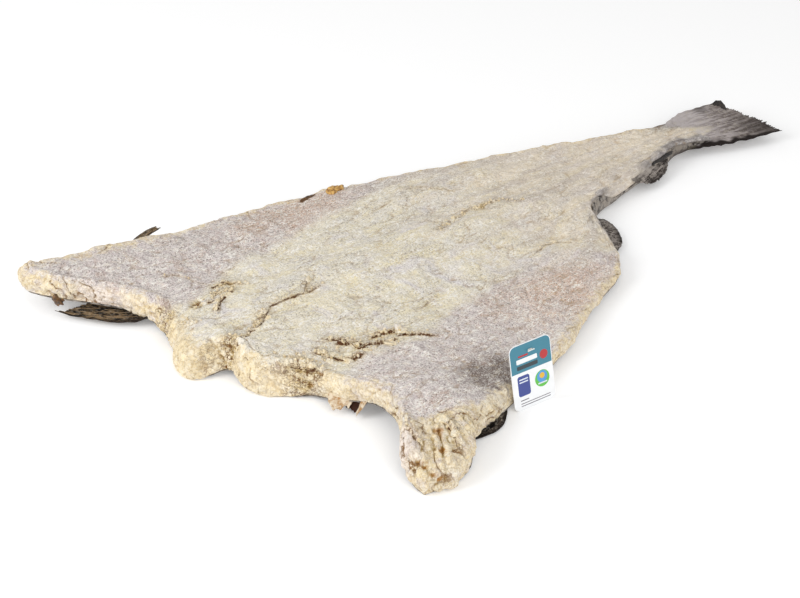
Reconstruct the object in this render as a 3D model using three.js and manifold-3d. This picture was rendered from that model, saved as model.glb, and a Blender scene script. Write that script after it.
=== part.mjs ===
// Salted dried cod: a headless cod split down the belly, opened flat like a kite, salted and
// dried whole, with the hang tag that is pinned to its right flap.
//
// Frame while building, in millimetres: the fish lies flesh up on the plane z = 0. The neck notch,
// where the head was cut off, is at the origin, +Y runs along the backbone to the tail and +X is the
// right-hand side seen from the neck. At the end everything is shifted so that the origin is the
// bottom centre of the whole object's box.
//
// Both faces of the fish are one grid: u goes from the left edge (-1) over the backbone (0) to the
// right edge (1), and v from the cut neck (0) to the root of the tail fin (1).

import * as THREE from 'three';
import { mergeVertices } from 'three/addons/utils/BufferGeometryUtils.js';
import Module from 'manifold-3d';

const wasm = await Module();
wasm.setup();

// ---------------------------------------------------------------- driving dimensions, mm

const BODY_LENGTH = 712;          // neck notch to where the body ends on the tail fin
const LOIN_HEIGHT = 45;           // thick back muscle at the neck
const TAIL_HEIGHT = 9;            // the same at its end
const FLAP_THICKNESS = 14;        // belly flaps beside it
const WING_LIFT = 24;             // how far the left collar is raised off the plane
const HUMP_LIFT = 20;             // arch under the right flap, behind its collar
const FLAP_ARCH = 6;              // hollow under the middle of each flap
const BACKBONE_VALLEY = 6;        // dip between the two loins at the neck
const CUT_RIDGE = 4;              // ragged ridge where the backbone was cut out
const HUMMOCKS = 1.3;             // uneven drying of the flesh face

const ROOT_THICKNESS = 4.5;       // a fin where it leaves the body
const TIP_THICKNESS = 2;          // and at its rays' ends

const TAG_WIDTH = 50;
const TAG_HEIGHT = 69;
const TAG_THICKNESS = 0.8;
const TAG_CORNER = 7;
const TAG_HOLE_RADIUS = 2.5;
const TAG_HOLE_DROP = 9;          // centre of the hole below the tag's top edge
const PIN_RADIUS = 0.8;           // nylon tagging pin
const PIN_BAR = 7;                // length of the pin's cross bar
const GAP = 0.3;                  // clearance round the pin in the flesh

const COLUMNS = 40;               // cells of the body's grid across the fish
const ROWS = 42;                  // and along it

// Edges of the opened fish, as [y, x]. The left collar stands forward as a raised wing; the right
// flap ends at a deep notch behind the belly.
const LEFT_EDGE = [[-78, -268], [-40, -256], [40, -240], [94, -230], [170, -221], [304, -191],
  [464, -127], [555, -88], [651, -47], [712, -40]];
const RIGHT_EDGE = [[8, 262], [42, 270], [70, 263], [90, 245], [115, 235], [172, 220], [253, 201],
  [355, 160], [410, 141], [441, 110], [464, 70], [482, 38], [542, 23], [632, 11], [668, 5], [712, 16]];
const MIDDLE = [[-80, -10], [0, -10], [60, -26], [300, -22], [560, -20], [650, -15], [712, -9]];

// The cut front edge, as [u, y]: raised left collar, left neck lobe, notch, right neck lobes and the
// right collar that droops to the plane.
const FRONT_EDGE = [[-1, -73], [-0.9, -78], [-0.67, -24], [-0.55, -7], [-0.41, -8], [-0.3, -18],
  [-0.2, -30], [-0.09, -33], [-0.01, -3], [0.1, -5], [0.18, 0], [0.25, 14], [0.32, 31], [0.44, 40],
  [0.58, 54], [0.72, 45], [0.84, 18], [0.93, 9], [1, 8]];

// ---------------------------------------------------------------- small helpers

/** A smooth curve through [at, value] stations, as a function; flat outside them. */
function through(stations) {
  const slope = stations.map((_, i) => {
    const before = stations[Math.max(i - 1, 0)];
    const after = stations[Math.min(i + 1, stations.length - 1)];
    return (after[1] - before[1]) / (after[0] - before[0]);
  });
  return (x) => {
    if (x <= stations[0][0]) return stations[0][1];
    if (x >= stations.at(-1)[0]) return stations.at(-1)[1];
    const i = stations.findIndex(([at]) => at > x) - 1;
    const step = stations[i + 1][0] - stations[i][0];
    const t = (x - stations[i][0]) / step;
    return (1 + 2 * t) * (1 - t) ** 2 * stations[i][1] + t * (1 - t) ** 2 * step * slope[i]
      + t * t * (3 - 2 * t) * stations[i + 1][1] - t * t * (1 - t) * step * slope[i + 1];
  };
}

/** Goes smoothly from 0 at a to 1 at b. */
const ease = (a, b, x) => THREE.MathUtils.smoothstep(x, a, b);

/** A round bump of height 1 at 0 that ends at the given reach. */
const bump = (distance, reach) => Math.max(0, 1 - (distance / reach) ** 2) ** 2;

const mix = THREE.MathUtils.lerp;

/** Rows of points, (rows + 1) by (columns + 1), from a function of u in -1..1 and v in 0..1. */
function grid(columns, rows, point) {
  return Array.from({ length: rows + 1 }, (_, j) =>
    Array.from({ length: columns + 1 }, (_, i) => point(2 * i / columns - 1, j / rows)));
}

/** A grid's border, once round: front, right, rear, left. */
function border(points) {
  const last = points.length - 1;
  const right = points.map((row) => row.at(-1));
  const left = points.map((row) => row[0]);
  return [...points[0].slice(0, -1), ...right.slice(0, -1), ...points[last].slice(1).reverse(),
    ...left.slice(1).reverse()];
}

/** Closes an upper and a lower grid into one skin, over rings of points between their borders. */
function closedSkin(upper, lower, rings = []) {
  const corners = [];
  const quad = (a, b, c, d) => corners.push(a, b, c, a, c, d);
  const last = upper[0].length - 1;
  for (let j = 0; j + 1 < upper.length; j += 1) {
    for (let i = 0; i < last; i += 1) {
      quad(upper[j][i], upper[j][i + 1], upper[j + 1][i + 1], upper[j + 1][i]);
      quad(lower[j][i], lower[j + 1][i], lower[j + 1][i + 1], lower[j][i + 1]);
    }
  }
  const loops = [border(upper), ...rings, border(lower)];
  for (let k = 0; k + 1 < loops.length; k += 1) {
    const [a, b] = [loops[k], loops[k + 1]];
    a.forEach((_, i) => {
      const next = (i + 1) % a.length;
      quad(a[i], b[i], b[next], a[next]);
    });
  }
  return new THREE.BufferGeometry().setFromPoints(corners);
}

/** A three.js geometry as a solid that can be joined and cut. */
function solid(geometry) {
  const bare = geometry.clone();
  bare.deleteAttribute('normal');
  bare.deleteAttribute('uv');
  const merged = mergeVertices(bare, 1e-4);
  return new wasm.Manifold(new wasm.Mesh({
    numProp: 3,
    vertProperties: new Float32Array(merged.attributes.position.array),
    triVerts: new Uint32Array(merged.index.array),
  }));
}

/** A solid back as a three.js geometry. */
function geometryOf(body) {
  const mesh = body.getMesh();
  const geometry = new THREE.BufferGeometry();
  geometry.setAttribute('position', new THREE.BufferAttribute(mesh.vertProperties, mesh.numProp));
  geometry.setIndex(new THREE.BufferAttribute(mesh.triVerts, 1));
  return geometry;
}

// ---------------------------------------------------------------- the split body

const leftEdge = through(LEFT_EDGE);
const rightEdge = through(RIGHT_EDGE);
const middle = through(MIDDLE);
const frontEdge = through(FRONT_EDGE);

// Height of the underside above the plane along each edge and the backbone, and thickness there.
const leftLift = through([[-78, WING_LIFT], [60, 22], [128, 16], [252, 12], [512, 11], [712, 12]]);
const rightLift = through([[8, 0], [50, 2], [92, 6], [172, 4], [253, 6], [410, 8], [500, 4], [712, 10]]);
const middleLift = through([[560, 0], [620, 1], [BODY_LENGTH, 10]]);
const leftThickness = through([[-78, 25], [94, FLAP_THICKNESS], [420, 14], [600, 18], [712, 6]]);
const rightThickness = through([[8, 26], [60, 22], [141, 24], [253, FLAP_THICKNESS], [410, 10],
  [512, 16], [632, 16], [712, 6]]);
const loinThickness = through([[0, LOIN_HEIGHT], [300, 35], [560, 26], [651, 21],
  [BODY_LENGTH, TAIL_HEIGHT]]);
const loinHalfWidth = through([[0, 114], [100, 98], [300, 72], [450, 54], [600, 34], [712, 24]]);

// How far the flat of the flesh face stops inside the outline: the worn edge slopes away.
const leftSlope = through([[-78, 6], [250, 4], [512, 6], [712, 5]]);
const rightSlope = through([[8, 30], [60, 34], [141, 17], [253, 7], [400, 5], [560, 9], [712, 5]]);
const frontSlope = through([[-1, 9], [-0.5, 12], [-0.28, 30], [-0.14, 30], [0, 10], [0.2, 14], [0.5, 8],
  [0.75, 14], [1, 22]]);
const TAIL_SLOPE = 16;
const UNDER_SLOPE = 3;

/** Plan position of (u, v) on a face that stops the given distances inside the outline. */
function planPoint(u, v, front, left, right, rear) {
  const y = mix(frontEdge(u) + front(u), BODY_LENGTH - rear, v);
  const atEdge = Math.abs(u) ** 5;
  const x = u < 0 ? mix(middle(y), leftEdge(y), -u) + left(y) * atEdge
    : mix(middle(y), rightEdge(y), u) - right(y) * atEdge;
  return new THREE.Vector3(x, y, 0);
}

/** How far x is from the backbone towards the edge on its side, 0 to 1. */
function outwards(x, y) {
  const edge = x < middle(y) ? leftEdge(y) : rightEdge(y);
  return THREE.MathUtils.clamp((x - middle(y)) / (edge - middle(y)), 0, 1);
}

/** The hollow that drying leaves under the middle of each belly flap. */
function flapArch(x, y) {
  return FLAP_ARCH * bump(outwards(x, y) - 0.62, 0.36) * ease(60, 140, y) * (1 - ease(430, 520, y));
}

/** Height of the underside: flat under the backbone, rising towards the edges. */
function underside(x, y) {
  const edgeLift = x < middle(y) ? leftLift(y) : rightLift(y);
  return mix(middleLift(y), edgeLift, ease(0.2, 1, outwards(x, y)))
    + HUMP_LIFT * bump(x - 175, 130) * bump(y - 45, 110) * (1 - ease(225, 262, x))
    + 8 * bump(x + 8, 26) * bump(y + 4, 26)
    + flapArch(x, y);
}

/** Thickness of the fish: two loins along the backbone that thin out into the flaps. */
function thickness(x, y) {
  const away = Math.abs(x - middle(y));
  const flap = x < middle(y) ? leftThickness(y) : rightThickness(y);
  const loin = Math.exp(-((away / loinHalfWidth(y)) ** 2.4));
  const ridge = middle(y) + 24 * ease(380, 460, y);
  return mix(flap, loinThickness(y), loin)
    - BACKBONE_VALLEY * bump(away, 22) * (1 - ease(90, 200, y))
    + CUT_RIDGE * bump(x - ridge, 22) * ease(290, 330, y) * (1 - ease(440, 480, y))
    + HUMMOCKS * Math.sin(x / 19 + 2 * Math.sin(y / 41)) * Math.cos(y / 27 + Math.sin(x / 33));
}

/** The whole fish without its fins: flesh face, worn edge and underside. */
function splitBody() {
  const spread = (v) => v ** 1.2;
  const none = () => 0;
  const under = () => UNDER_SLOPE;
  const upper = grid(COLUMNS, ROWS, (u, v) => {
    const point = planPoint(u, spread(v), frontSlope, leftSlope, rightSlope, TAIL_SLOPE);
    return point.setZ(underside(point.x, point.y) + thickness(point.x, point.y));
  });
  const lower = grid(COLUMNS, ROWS, (u, v) => {
    const point = planPoint(u, spread(v), under, under, under, 2);
    return point.setZ(underside(point.x, point.y));
  });
  const outline = border(grid(COLUMNS, ROWS, (u, v) => planPoint(u, spread(v), none, none, none, 0)));
  const top = border(upper);
  const bottom = border(lower);
  const WIDEST = 0.38;            // part of the edge's height at which it stands out furthest
  outline.forEach((point, i) => point.setZ(mix(bottom[i].z, top[i].z, WIDEST)));
  const arc = (from, quarter) => outline.map((out, i) => {
    const angle = quarter * Math.PI / 2;
    const ring = from[i].clone().lerp(out, Math.sin(angle));
    return ring.setZ(mix(out.z, from[i].z, Math.cos(angle)));
  });
  return solid(closedSkin(upper, lower, [arc(top, 1 / 3), arc(top, 2 / 3), outline, arc(bottom, 1 / 2)]));
}

// ---------------------------------------------------------------- fins and the loose membrane

/**
 * A dried fin: a thin blade of bony rays that fan out from a root inside the body. Its middle line
 * runs through path stations [x, y, z] at equal steps and its half width through widths. tilt is how
 * much higher its left side lies, and slant how much longer its right side is. The rays end at uneven
 * lengths, so that the tip is ragged.
 */
function blade({ path, widths, tilt = 0, slant = 0, rays, ragged, columns = 12, rows = 6 }) {
  const curve = new THREE.CatmullRomCurve3(path.map((p) => new THREE.Vector3(...p)));
  const halfWidth = through(widths.map((w, i) => [i / (widths.length - 1), w]));
  const face = (side) => grid(columns, rows, (u, v) => {
    const uneven = 0.5 + 0.5 * Math.sin(2.6 * rays * u + 1.3) * Math.cos(1.7 * u - 0.4);
    const s = v * (1 - ragged * uneven) * (1 + slant * (u - 1));
    const centre = curve.getPoint(s);
    const along = curve.getTangent(s);
    const across = new THREE.Vector3(along.y, -along.x, 0).normalize();
    const ray = 0.12 * Math.cos(rays * Math.PI * u);
    const half = mix(ROOT_THICKNESS, TIP_THICKNESS, s) * mix(0.5, 0.3, u * u) + ray;
    const point = centre.addScaledVector(across, u * halfWidth(s));
    return point.setZ(point.z - tilt * u + side * half);
  });
  return solid(closedSkin(face(1), face(-1)));
}

const BLADES = [
  // left pectoral fin, spread under the raised collar
  { path: [[-133, 20, 20], [-158, -4, 7], [-192, -31, 5], [-227, -64, 5]], widths: [13, 21, 20, 4],
    rays: 5, ragged: 0.1 },
  // right pectoral fin, folded back under the right flap
  { path: [[180, 58, 32], [201, 96, 6], [215, 128, 2.6], [206, 166, 2.6]], widths: [13, 24, 23, 8],
    rays: 5, ragged: 0.1 },
  // left pelvic fin, a curled spike behind the collar's edge
  { path: [[-225, 52, 30], [-233, 66, 36], [-229, 77, 41], [-222, 87, 46]], widths: [8, 7, 5, 2],
    rays: 2, ragged: 0.2, columns: 6 },
  // front and rear anal fins, low fringes along the tail's right edge
  { path: [[52, 440, 11], [66, 462, 9], [80, 483, 6]], widths: [38, 33, 25], tilt: 2, rays: 6,
    ragged: 0.18, rows: 4 },
  { path: [[-2, 597, 15], [12, 599, 13], [28, 602, 9]], widths: [40, 37, 28], rays: 6,
    ragged: 0.16, rows: 4 },
  // tail fin, its upper lobe longer
  { path: [[-14, 682, 17], [-9, 718, 18], [3, 758, 18], [20, 803, 18]], widths: [22, 32, 40, 46],
    tilt: 5, slant: 0.11, rays: 7, ragged: 0.06, columns: 16 },
  // a scrap of belly membrane that hangs from the cut edge
  { path: [[113, 56, 22], [121, 40, 15], [126, 32, 5]], widths: [15, 14, 8], rays: 3, ragged: 0.25,
    columns: 6, rows: 4 },
];

// ---------------------------------------------------------------- hang tag and its pin

// The tag stands on its bottom edge and leans back against the flap. Its axes: across the print,
// up the tag, and out of its face.
const TAG_FOOT = new THREE.Vector3(231.5, 187.5, 0);
const TAG_TURN = THREE.MathUtils.degToRad(81.7);       // of its bottom edge, from +X
const TAG_LEAN = THREE.MathUtils.degToRad(12.5);       // back from upright
const tagAcross = new THREE.Vector3(Math.cos(TAG_TURN), Math.sin(TAG_TURN), 0);
const tagUp = new THREE.Vector3(-Math.sin(TAG_TURN), Math.cos(TAG_TURN), 0)
  .multiplyScalar(Math.sin(TAG_LEAN)).setZ(Math.cos(TAG_LEAN));
const tagOut = new THREE.Vector3().crossVectors(tagAcross, tagUp);
const tagPose = new THREE.Matrix4().makeBasis(tagAcross, tagUp, tagOut);

/** A point on the tag: across from its middle, up from its foot, out from its back. */
function onTag(across, up, out) {
  return new THREE.Vector3(across, up, out).applyMatrix4(tagPose).add(TAG_FOOT);
}

/** Card with round corners and a punched hole, standing at its place. */
function tagGeometry() {
  const half = TAG_WIDTH / 2;
  const card = new THREE.Shape();
  const corners = [[half, 0], [half, TAG_HEIGHT], [-half, TAG_HEIGHT], [-half, 0]];
  corners.forEach(([x, y], i) => {
    const inward = [Math.sign(-x) * TAG_CORNER, (y === 0 ? 1 : -1) * TAG_CORNER];
    card.absarc(x + inward[0], y + inward[1], TAG_CORNER, (i - 1) * Math.PI / 2, i * Math.PI / 2);
  });
  card.closePath();
  card.holes.push(new THREE.Path().absarc(0, TAG_HEIGHT - TAG_HOLE_DROP, TAG_HOLE_RADIUS, 0, 2 * Math.PI));
  const geometry = new THREE.ExtrudeGeometry(card, {
    depth: TAG_THICKNESS, bevelEnabled: false, curveSegments: 6,
  });
  return geometry.applyMatrix4(tagPose).translate(...TAG_FOOT);
}

/** A round bar along a path, its ends closed. */
function bar(path, radius, steps) {
  const section = new THREE.Shape().absarc(0, 0, radius, 0, 2 * Math.PI);
  const curve = new THREE.CatmullRomCurve3(path);
  return new THREE.ExtrudeGeometry(section, { steps, curveSegments: 5, extrudePath: curve });
}

const PIN_SEAT = new THREE.Vector3(190, 196, 10);      // end of the pin, inside the flap
const PIN_TURN = new THREE.Vector3(196, 196, 33);      // where it bends towards the tag

/** The pin's thread, from the flap through the tag's hole, or with a gap the pocket that it needs. */
function pinThread(gap) {
  const hole = TAG_HEIGHT - TAG_HOLE_DROP;
  const seat = PIN_SEAT.clone().setZ(PIN_SEAT.z - gap);
  const path = [seat, PIN_TURN, onTag(0, hole - 2, -7), onTag(0, hole, TAG_THICKNESS + 2)];
  return solid(bar(path, PIN_RADIUS + gap, 14));
}

/** Thread and cross bar, in one. */
function tagPin() {
  const hole = TAG_HEIGHT - TAG_HOLE_DROP;
  const out = TAG_THICKNESS + 2;
  const cross = bar([onTag(-PIN_BAR / 2, hole, out), onTag(PIN_BAR / 2, hole, out)], PIN_RADIUS, 1);
  return pinThread(0).add(solid(cross));
}

// ---------------------------------------------------------------- the object

const cod = new THREE.Group();

function place(name, geometry, color, roughness) {
  const mesh = new THREE.Mesh(geometry, new THREE.MeshStandardMaterial({ color, roughness }));
  mesh.name = name;
  cod.add(mesh);
}

const fish = BLADES.map(blade).reduce((whole, piece) => whole.add(piece), splitBody());
place('split_cod', geometryOf(fish.subtract(pinThread(GAP))), 0xd8cdb8, 0.85);
place('tag', tagGeometry(), 0xf2f4f5, 0.35);
place('tag_pin', geometryOf(tagPin()), 0xf4f4f0, 0.3);

const box = new THREE.Box3().setFromObject(cod);
const centre = box.getCenter(new THREE.Vector3());
cod.position.set(-centre.x, -centre.y, -box.min.z);

export default cod;
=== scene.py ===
import itertools
import math

import bpy
import numpy as np
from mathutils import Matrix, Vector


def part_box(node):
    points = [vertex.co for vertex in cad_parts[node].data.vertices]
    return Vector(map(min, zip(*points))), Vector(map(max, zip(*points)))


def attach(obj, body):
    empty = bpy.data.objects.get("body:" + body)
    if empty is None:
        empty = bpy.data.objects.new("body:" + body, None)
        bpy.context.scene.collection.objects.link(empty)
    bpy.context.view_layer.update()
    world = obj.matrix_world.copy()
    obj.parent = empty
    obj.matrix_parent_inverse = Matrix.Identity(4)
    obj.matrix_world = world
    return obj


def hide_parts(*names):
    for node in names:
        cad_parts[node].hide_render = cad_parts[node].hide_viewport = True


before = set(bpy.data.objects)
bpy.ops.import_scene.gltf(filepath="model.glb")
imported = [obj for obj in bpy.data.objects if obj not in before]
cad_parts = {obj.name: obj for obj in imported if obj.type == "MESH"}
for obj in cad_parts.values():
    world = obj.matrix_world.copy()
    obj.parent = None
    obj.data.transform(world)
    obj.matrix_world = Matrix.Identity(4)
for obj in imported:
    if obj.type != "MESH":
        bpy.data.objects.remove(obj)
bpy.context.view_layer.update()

# ------------------------------------------------------------------------------ the salted flesh
# Both fillets of a cod, still joined along the back, opened flat like a kite, salted and dried
# hard. The face is torn muscle under a crust of salt, grey-lilac on the belly flaps and cream on
# the loins, and the worn, knife-cut edge is thick and crumbly. Everything else grows from it.

MM = 0.001                        # the fish is worked out in millimetres and stands in metres
BODY_LENGTH = 712                 # neck notch at y = 0 to where the body ends on the tail fin
LOIN_HEIGHT = 45
TAIL_HEIGHT = 9
FLAP_THICKNESS = 14
WING_LIFT = 24                    # the left collar is raised off the board
HUMP_LIFT = 20                    # the right flap arches behind its collar,
HUMP_PLACE = (175, 45)            # round this x and y
HUMP_REACH = (130, 110)
FLAP_ARCH = 6
BACKBONE_VALLEY = 6
CUT_RIDGE = 4
HUMMOCKS = 1.3
NOTCH_ARCH = 8                    # the underside rises over the notch in the neck,
NOTCH_PLACE = (-8, -4)            # round this x and y
NOTCH_REACH = 26
SEAM_REACH = 22                   # half width of the backbone's valley, and of the ridge beside it
WIDEST = 0.38                     # part of the edge's height at which it stands out furthest
UPPER_PART = 0.6                  # share of the worn edge's rings that lie above that

COLUMNS = 280                     # cells across the flesh face, a multiple of COARSE
ROWS = 240                        # and along it
CROWDING = 1.45                   # power of the rows' spacing, closer together towards the neck
COARSE = 8                        # the hidden underside has one cell for so many of the face's
EDGE_RINGS = 22                   # rings of cells down the worn edge
BASE_INSETS = (14, 10, 10, 10)    # that underside's distances from the neck, left, right and tail
BASE_RISE = 1.5                   # and its height above the skin's place


def through(stations):
    """A smooth curve through (at, value) stations and flat outside them: cubics whose slope at a
    station is that of the line between its two neighbours."""
    at, value = np.array(stations, float).T
    before = np.maximum(np.arange(len(at)) - 1, 0)
    after = np.minimum(np.arange(len(at)) + 1, len(at) - 1)
    slope = (value[after] - value[before]) / (at[after] - at[before])

    def curve(x):
        x = np.clip(x, at[0], at[-1])
        i = np.clip(np.searchsorted(at, x, side="right") - 1, 0, len(at) - 2)
        step = at[i + 1] - at[i]
        t = (x - at[i]) / step
        start = (1 + 2 * t) * (1 - t) ** 2 * value[i] + t * (1 - t) ** 2 * step * slope[i]
        end = t * t * (3 - 2 * t) * value[i + 1] - t * t * (1 - t) * step * slope[i + 1]
        return start + end

    return curve


def ease(a, b, x):
    """0 before a, 1 after b, with the cubic smooth step between them."""
    t = np.clip((x - a) / (b - a), 0, 1)
    return t * t * (3 - 2 * t)


def bump(distance, reach):
    """1 at 0, falling to 0 at the reach as (1 - d squared) squared."""
    return np.maximum(0, 1 - (distance / reach) ** 2) ** 2


def mix(a, b, share):
    """a where share is 0 and b where it is 1."""
    return a + (b - a) * share


# The fish as smooth curves: its outline, backbone, lifts and thicknesses by y, and its cut neck by u,
# which goes from -1 at the left edge over 0 at the backbone to 1 at the right edge.
left_edge = through([(-78, -268), (-40, -256), (40, -240), (94, -230), (170, -221), (304, -191),
                     (464, -127), (555, -88), (651, -47), (712, -40)])
right_edge = through([(8, 262), (42, 270), (70, 263), (90, 245), (115, 235), (172, 220), (253, 201),
                      (355, 160), (410, 141), (441, 110), (464, 70), (482, 38), (542, 23), (632, 11),
                      (668, 5), (712, 16)])
middle = through([(-80, -10), (0, -10), (60, -26), (300, -22), (560, -20), (650, -15), (712, -9)])
front_edge = through([(-1, -73), (-0.9, -78), (-0.67, -24), (-0.55, -7), (-0.41, -8), (-0.3, -18),
                      (-0.2, -30), (-0.09, -33), (-0.01, -3), (0.1, -5), (0.18, 0), (0.25, 14),
                      (0.32, 31), (0.44, 40), (0.58, 54), (0.72, 45), (0.84, 18), (0.93, 9), (1, 8)])
left_lift = through([(-78, WING_LIFT), (60, 22), (128, 16), (252, 12), (512, 11), (712, 12)])
right_lift = through([(8, 0), (50, 2), (92, 6), (172, 4), (253, 6), (410, 8), (500, 4), (712, 10)])
middle_lift = through([(560, 0), (620, 1), (BODY_LENGTH, 10)])
left_thickness = through([(-78, 25), (94, FLAP_THICKNESS), (420, 14), (600, 18), (712, 6)])
right_thickness = through([(8, 26), (60, 22), (141, 24), (253, FLAP_THICKNESS), (410, 10),
                           (512, 16), (632, 16), (712, 6)])
loin_thickness = through([(0, LOIN_HEIGHT), (300, 35), (560, 26), (651, 21),
                          (BODY_LENGTH, TAIL_HEIGHT)])
loin_half_width = through([(0, 114), (100, 98), (300, 72), (450, 54), (600, 34), (712, 24)])

# How far inside the outline the worn edge starts on the face, and where it ends on the underside.
left_slope = through([(-78, 6), (250, 4), (512, 6), (712, 5)])
right_slope = through([(8, 30), (60, 34), (141, 17), (253, 7), (400, 5), (560, 9), (712, 5)])
front_slope = through([(-1, 9), (-0.5, 12), (-0.28, 30), (-0.14, 30), (0, 10), (0.2, 14), (0.5, 8),
                       (0.75, 14), (1, 22)])
TAIL_SLOPE = 16
UNDER_SLOPES = (3, 3, 3, 2)       # at the neck, left, right and tail


def plan_point(u, v, front=0, left=0, right=0, rear=0):
    """Plan position of (u, v) on a face that stops the given distances inside the outline: y runs
    evenly from the cut neck to the tail, and x evenly from the backbone to the edge on its side,
    where the distance is taken off by the fifth power of u. That distance may be a curve over y."""
    y = mix(front_edge(u) + front, BODY_LENGTH - rear, v)
    at_edge = np.abs(u) ** 5
    left = left(y) if callable(left) else left
    right = right(y) if callable(right) else right
    x = np.where(u < 0, mix(middle(y), left_edge(y), -u) + left * at_edge,
                 mix(middle(y), right_edge(y), u) - right * at_edge)
    return x, y


def outwards(x, y):
    """How far x is from the backbone towards the edge on its side, 0 to 1."""
    edge = np.where(x < middle(y), left_edge(y), right_edge(y))
    return np.clip((x - middle(y)) / (edge - middle(y)), 0, 1)


def sideways(x, y):
    """u of a place: -1 at the left edge, 0 at the backbone and 1 at the right edge."""
    return np.where(x < middle(y), -1, 1) * outwards(x, y)


def underside(x, y):
    """Height of the underside: the backbone's lift, eased out to the lift of each edge, with the right
    flap's hump, the notch's little arch and a hollow under the middle of each flap."""
    edge_lift = np.where(x < middle(y), left_lift(y), right_lift(y))
    hump = HUMP_LIFT * bump(x - HUMP_PLACE[0], HUMP_REACH[0]) * bump(y - HUMP_PLACE[1], HUMP_REACH[1])
    hump *= 1 - ease(225, 262, x)
    notch = NOTCH_ARCH * bump(x - NOTCH_PLACE[0], NOTCH_REACH) * bump(y - NOTCH_PLACE[1], NOTCH_REACH)
    arch = FLAP_ARCH * bump(outwards(x, y) - 0.62, 0.36) * ease(60, 140, y) * (1 - ease(430, 520, y))
    return mix(middle_lift(y), edge_lift, ease(0.2, 1, outwards(x, y))) + hump + notch + arch


def thickness(x, y):
    """Two loins along the backbone that thin out into the flaps as exp(-(distance / width) ^ 2.4),
    less the valley between them, plus the ridge where the bone was cut out and slow hummocks."""
    away = np.abs(x - middle(y))
    flap = np.where(x < middle(y), left_thickness(y), right_thickness(y))
    ridge = middle(y) + 24 * ease(380, 460, y)
    return (mix(flap, loin_thickness(y), np.exp(-(away / loin_half_width(y)) ** 2.4))
            - BACKBONE_VALLEY * bump(away, SEAM_REACH) * (1 - ease(90, 200, y))
            + CUT_RIDGE * bump(x - ridge, SEAM_REACH) * ease(290, 330, y) * (1 - ease(440, 480, y))
            + HUMMOCKS * np.sin(x / 19 + 2 * np.sin(y / 41)) * np.cos(y / 27 + np.sin(x / 33)))


def grid(columns, rows, crowding=1.0):
    """u from -1 to 1 and v from 0 to 1 at the points of a grid, v's even steps raised to a power."""
    u, v = np.meshgrid(np.linspace(-1, 1, columns + 1), np.linspace(0, 1, rows + 1) ** crowding)
    return u.ravel(), v.ravel()


def border(columns, rows):
    """Numbers of a grid's border points, once round: front, right, rear, left."""
    number = np.arange((rows + 1) * (columns + 1)).reshape(rows + 1, columns + 1)
    return np.concatenate([number[0, :-1], number[:-1, -1], number[-1, :0:-1], number[:0:-1, 0]])


def grid_quads(columns, rows, first=0, flip=False):
    """Corner numbers of a grid's cells, facing up, or down if flipped."""
    number = first + np.arange((rows + 1) * (columns + 1)).reshape(rows + 1, columns + 1)
    corners = [number[:-1, :-1], number[:-1, 1:], number[1:, 1:], number[1:, :-1]]
    if flip:
        corners.reverse()
    return np.stack(corners, axis=-1).reshape(-1, 4)


def band_quads(upper, lower):
    """Cells between two closed loops of as many points, the first above or inside the other."""
    return np.stack([upper, lower, np.roll(lower, -1), np.roll(upper, -1)], axis=1)


def bands(loops, flip=False):
    """Cells between each closed loop and the next, turned over if flipped."""
    pairs = zip(loops[1:], loops[:-1]) if flip else zip(loops[:-1], loops[1:])
    return np.concatenate([band_quads(upper, lower) for upper, lower in pairs])


def ring_numbers(edge, first, rings):
    """Point numbers of a grid's edge and of the rings that carry it on, which start at first."""
    return [edge] + [first + k * len(edge) + np.arange(len(edge)) for k in range(rings)]


def stitch(fine, coarse):
    """Triangles between a closed loop and one with a whole fraction of its points: each edge of the
    fine loop goes to the nearest coarse point, and each coarse edge to the fine point between."""
    share = len(fine) // len(coarse)
    step = np.arange(len(fine))
    owner = coarse[((step + share // 2) // share) % len(coarse)]
    fans = np.stack([fine, owner, np.roll(fine, -1)], axis=1)
    fills = np.stack([fine[share // 2::share], coarse, np.roll(coarse, -1)], axis=1)
    return np.concatenate([fans, fills])


def noise(points, size, seed=0):
    """Smooth random heights of about -1 to 1 with hummocks of a size in mm: each corner of a cubic
    lattice gets a random slope, and the eight slopes round a point are blended by a quintic."""
    scaled = points / size + seed * 7.31
    cell = np.floor(scaled).astype(np.int64)
    inside = scaled - cell
    share = inside ** 3 * (inside * (inside * 6 - 15) + 10)
    total = np.zeros(len(points))
    for corner in itertools.product((0, 1), repeat=3):
        slope = np.stack([scramble(cell + corner, axis) for axis in range(3)], axis=1)
        weight = np.where(np.array(corner) == 1, share, 1 - share).prod(axis=1)
        total += weight * ((inside - corner) * slope).sum(axis=1)
    return total * 1.5


def scramble(cell, key):
    """A random number of -1 to 1 for each cell of a lattice, from its whole-numbered place."""
    mixed = (cell * (73856093, 19349663, 83492791)).sum(axis=1) + key * 668265263
    mixed = (mixed & 0x7fffffff) * 1274126177 & 0x7fffffff
    mixed = (mixed ^ (mixed >> 15)) * 1540483477 & 0x7fffffff
    return (mixed ^ (mixed >> 13)) / 2 ** 30 - 1


def lumps(points, size, seed=0):
    """Crumbly lumps, 0 in the crease between two and up to about 1 on top: the second nearest less
    the nearest distance to random seeds, one in each cube of the given size in mm."""
    scaled = points / size + seed * 5.77
    cell = np.floor(scaled).astype(np.int64)
    nearest = np.full(len(points), 9.0)
    second = nearest.copy()
    for step in itertools.product((-1, 0, 1), repeat=3):
        place = cell + step
        jitter = np.stack([scramble(place, 5 + axis) for axis in range(3)], axis=1)
        gap = np.linalg.norm(scaled - place - 0.5 - 0.42 * jitter, axis=1)
        second = np.minimum(second, np.maximum(nearest, gap))
        nearest = np.minimum(nearest, gap)
    return second - nearest


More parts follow.
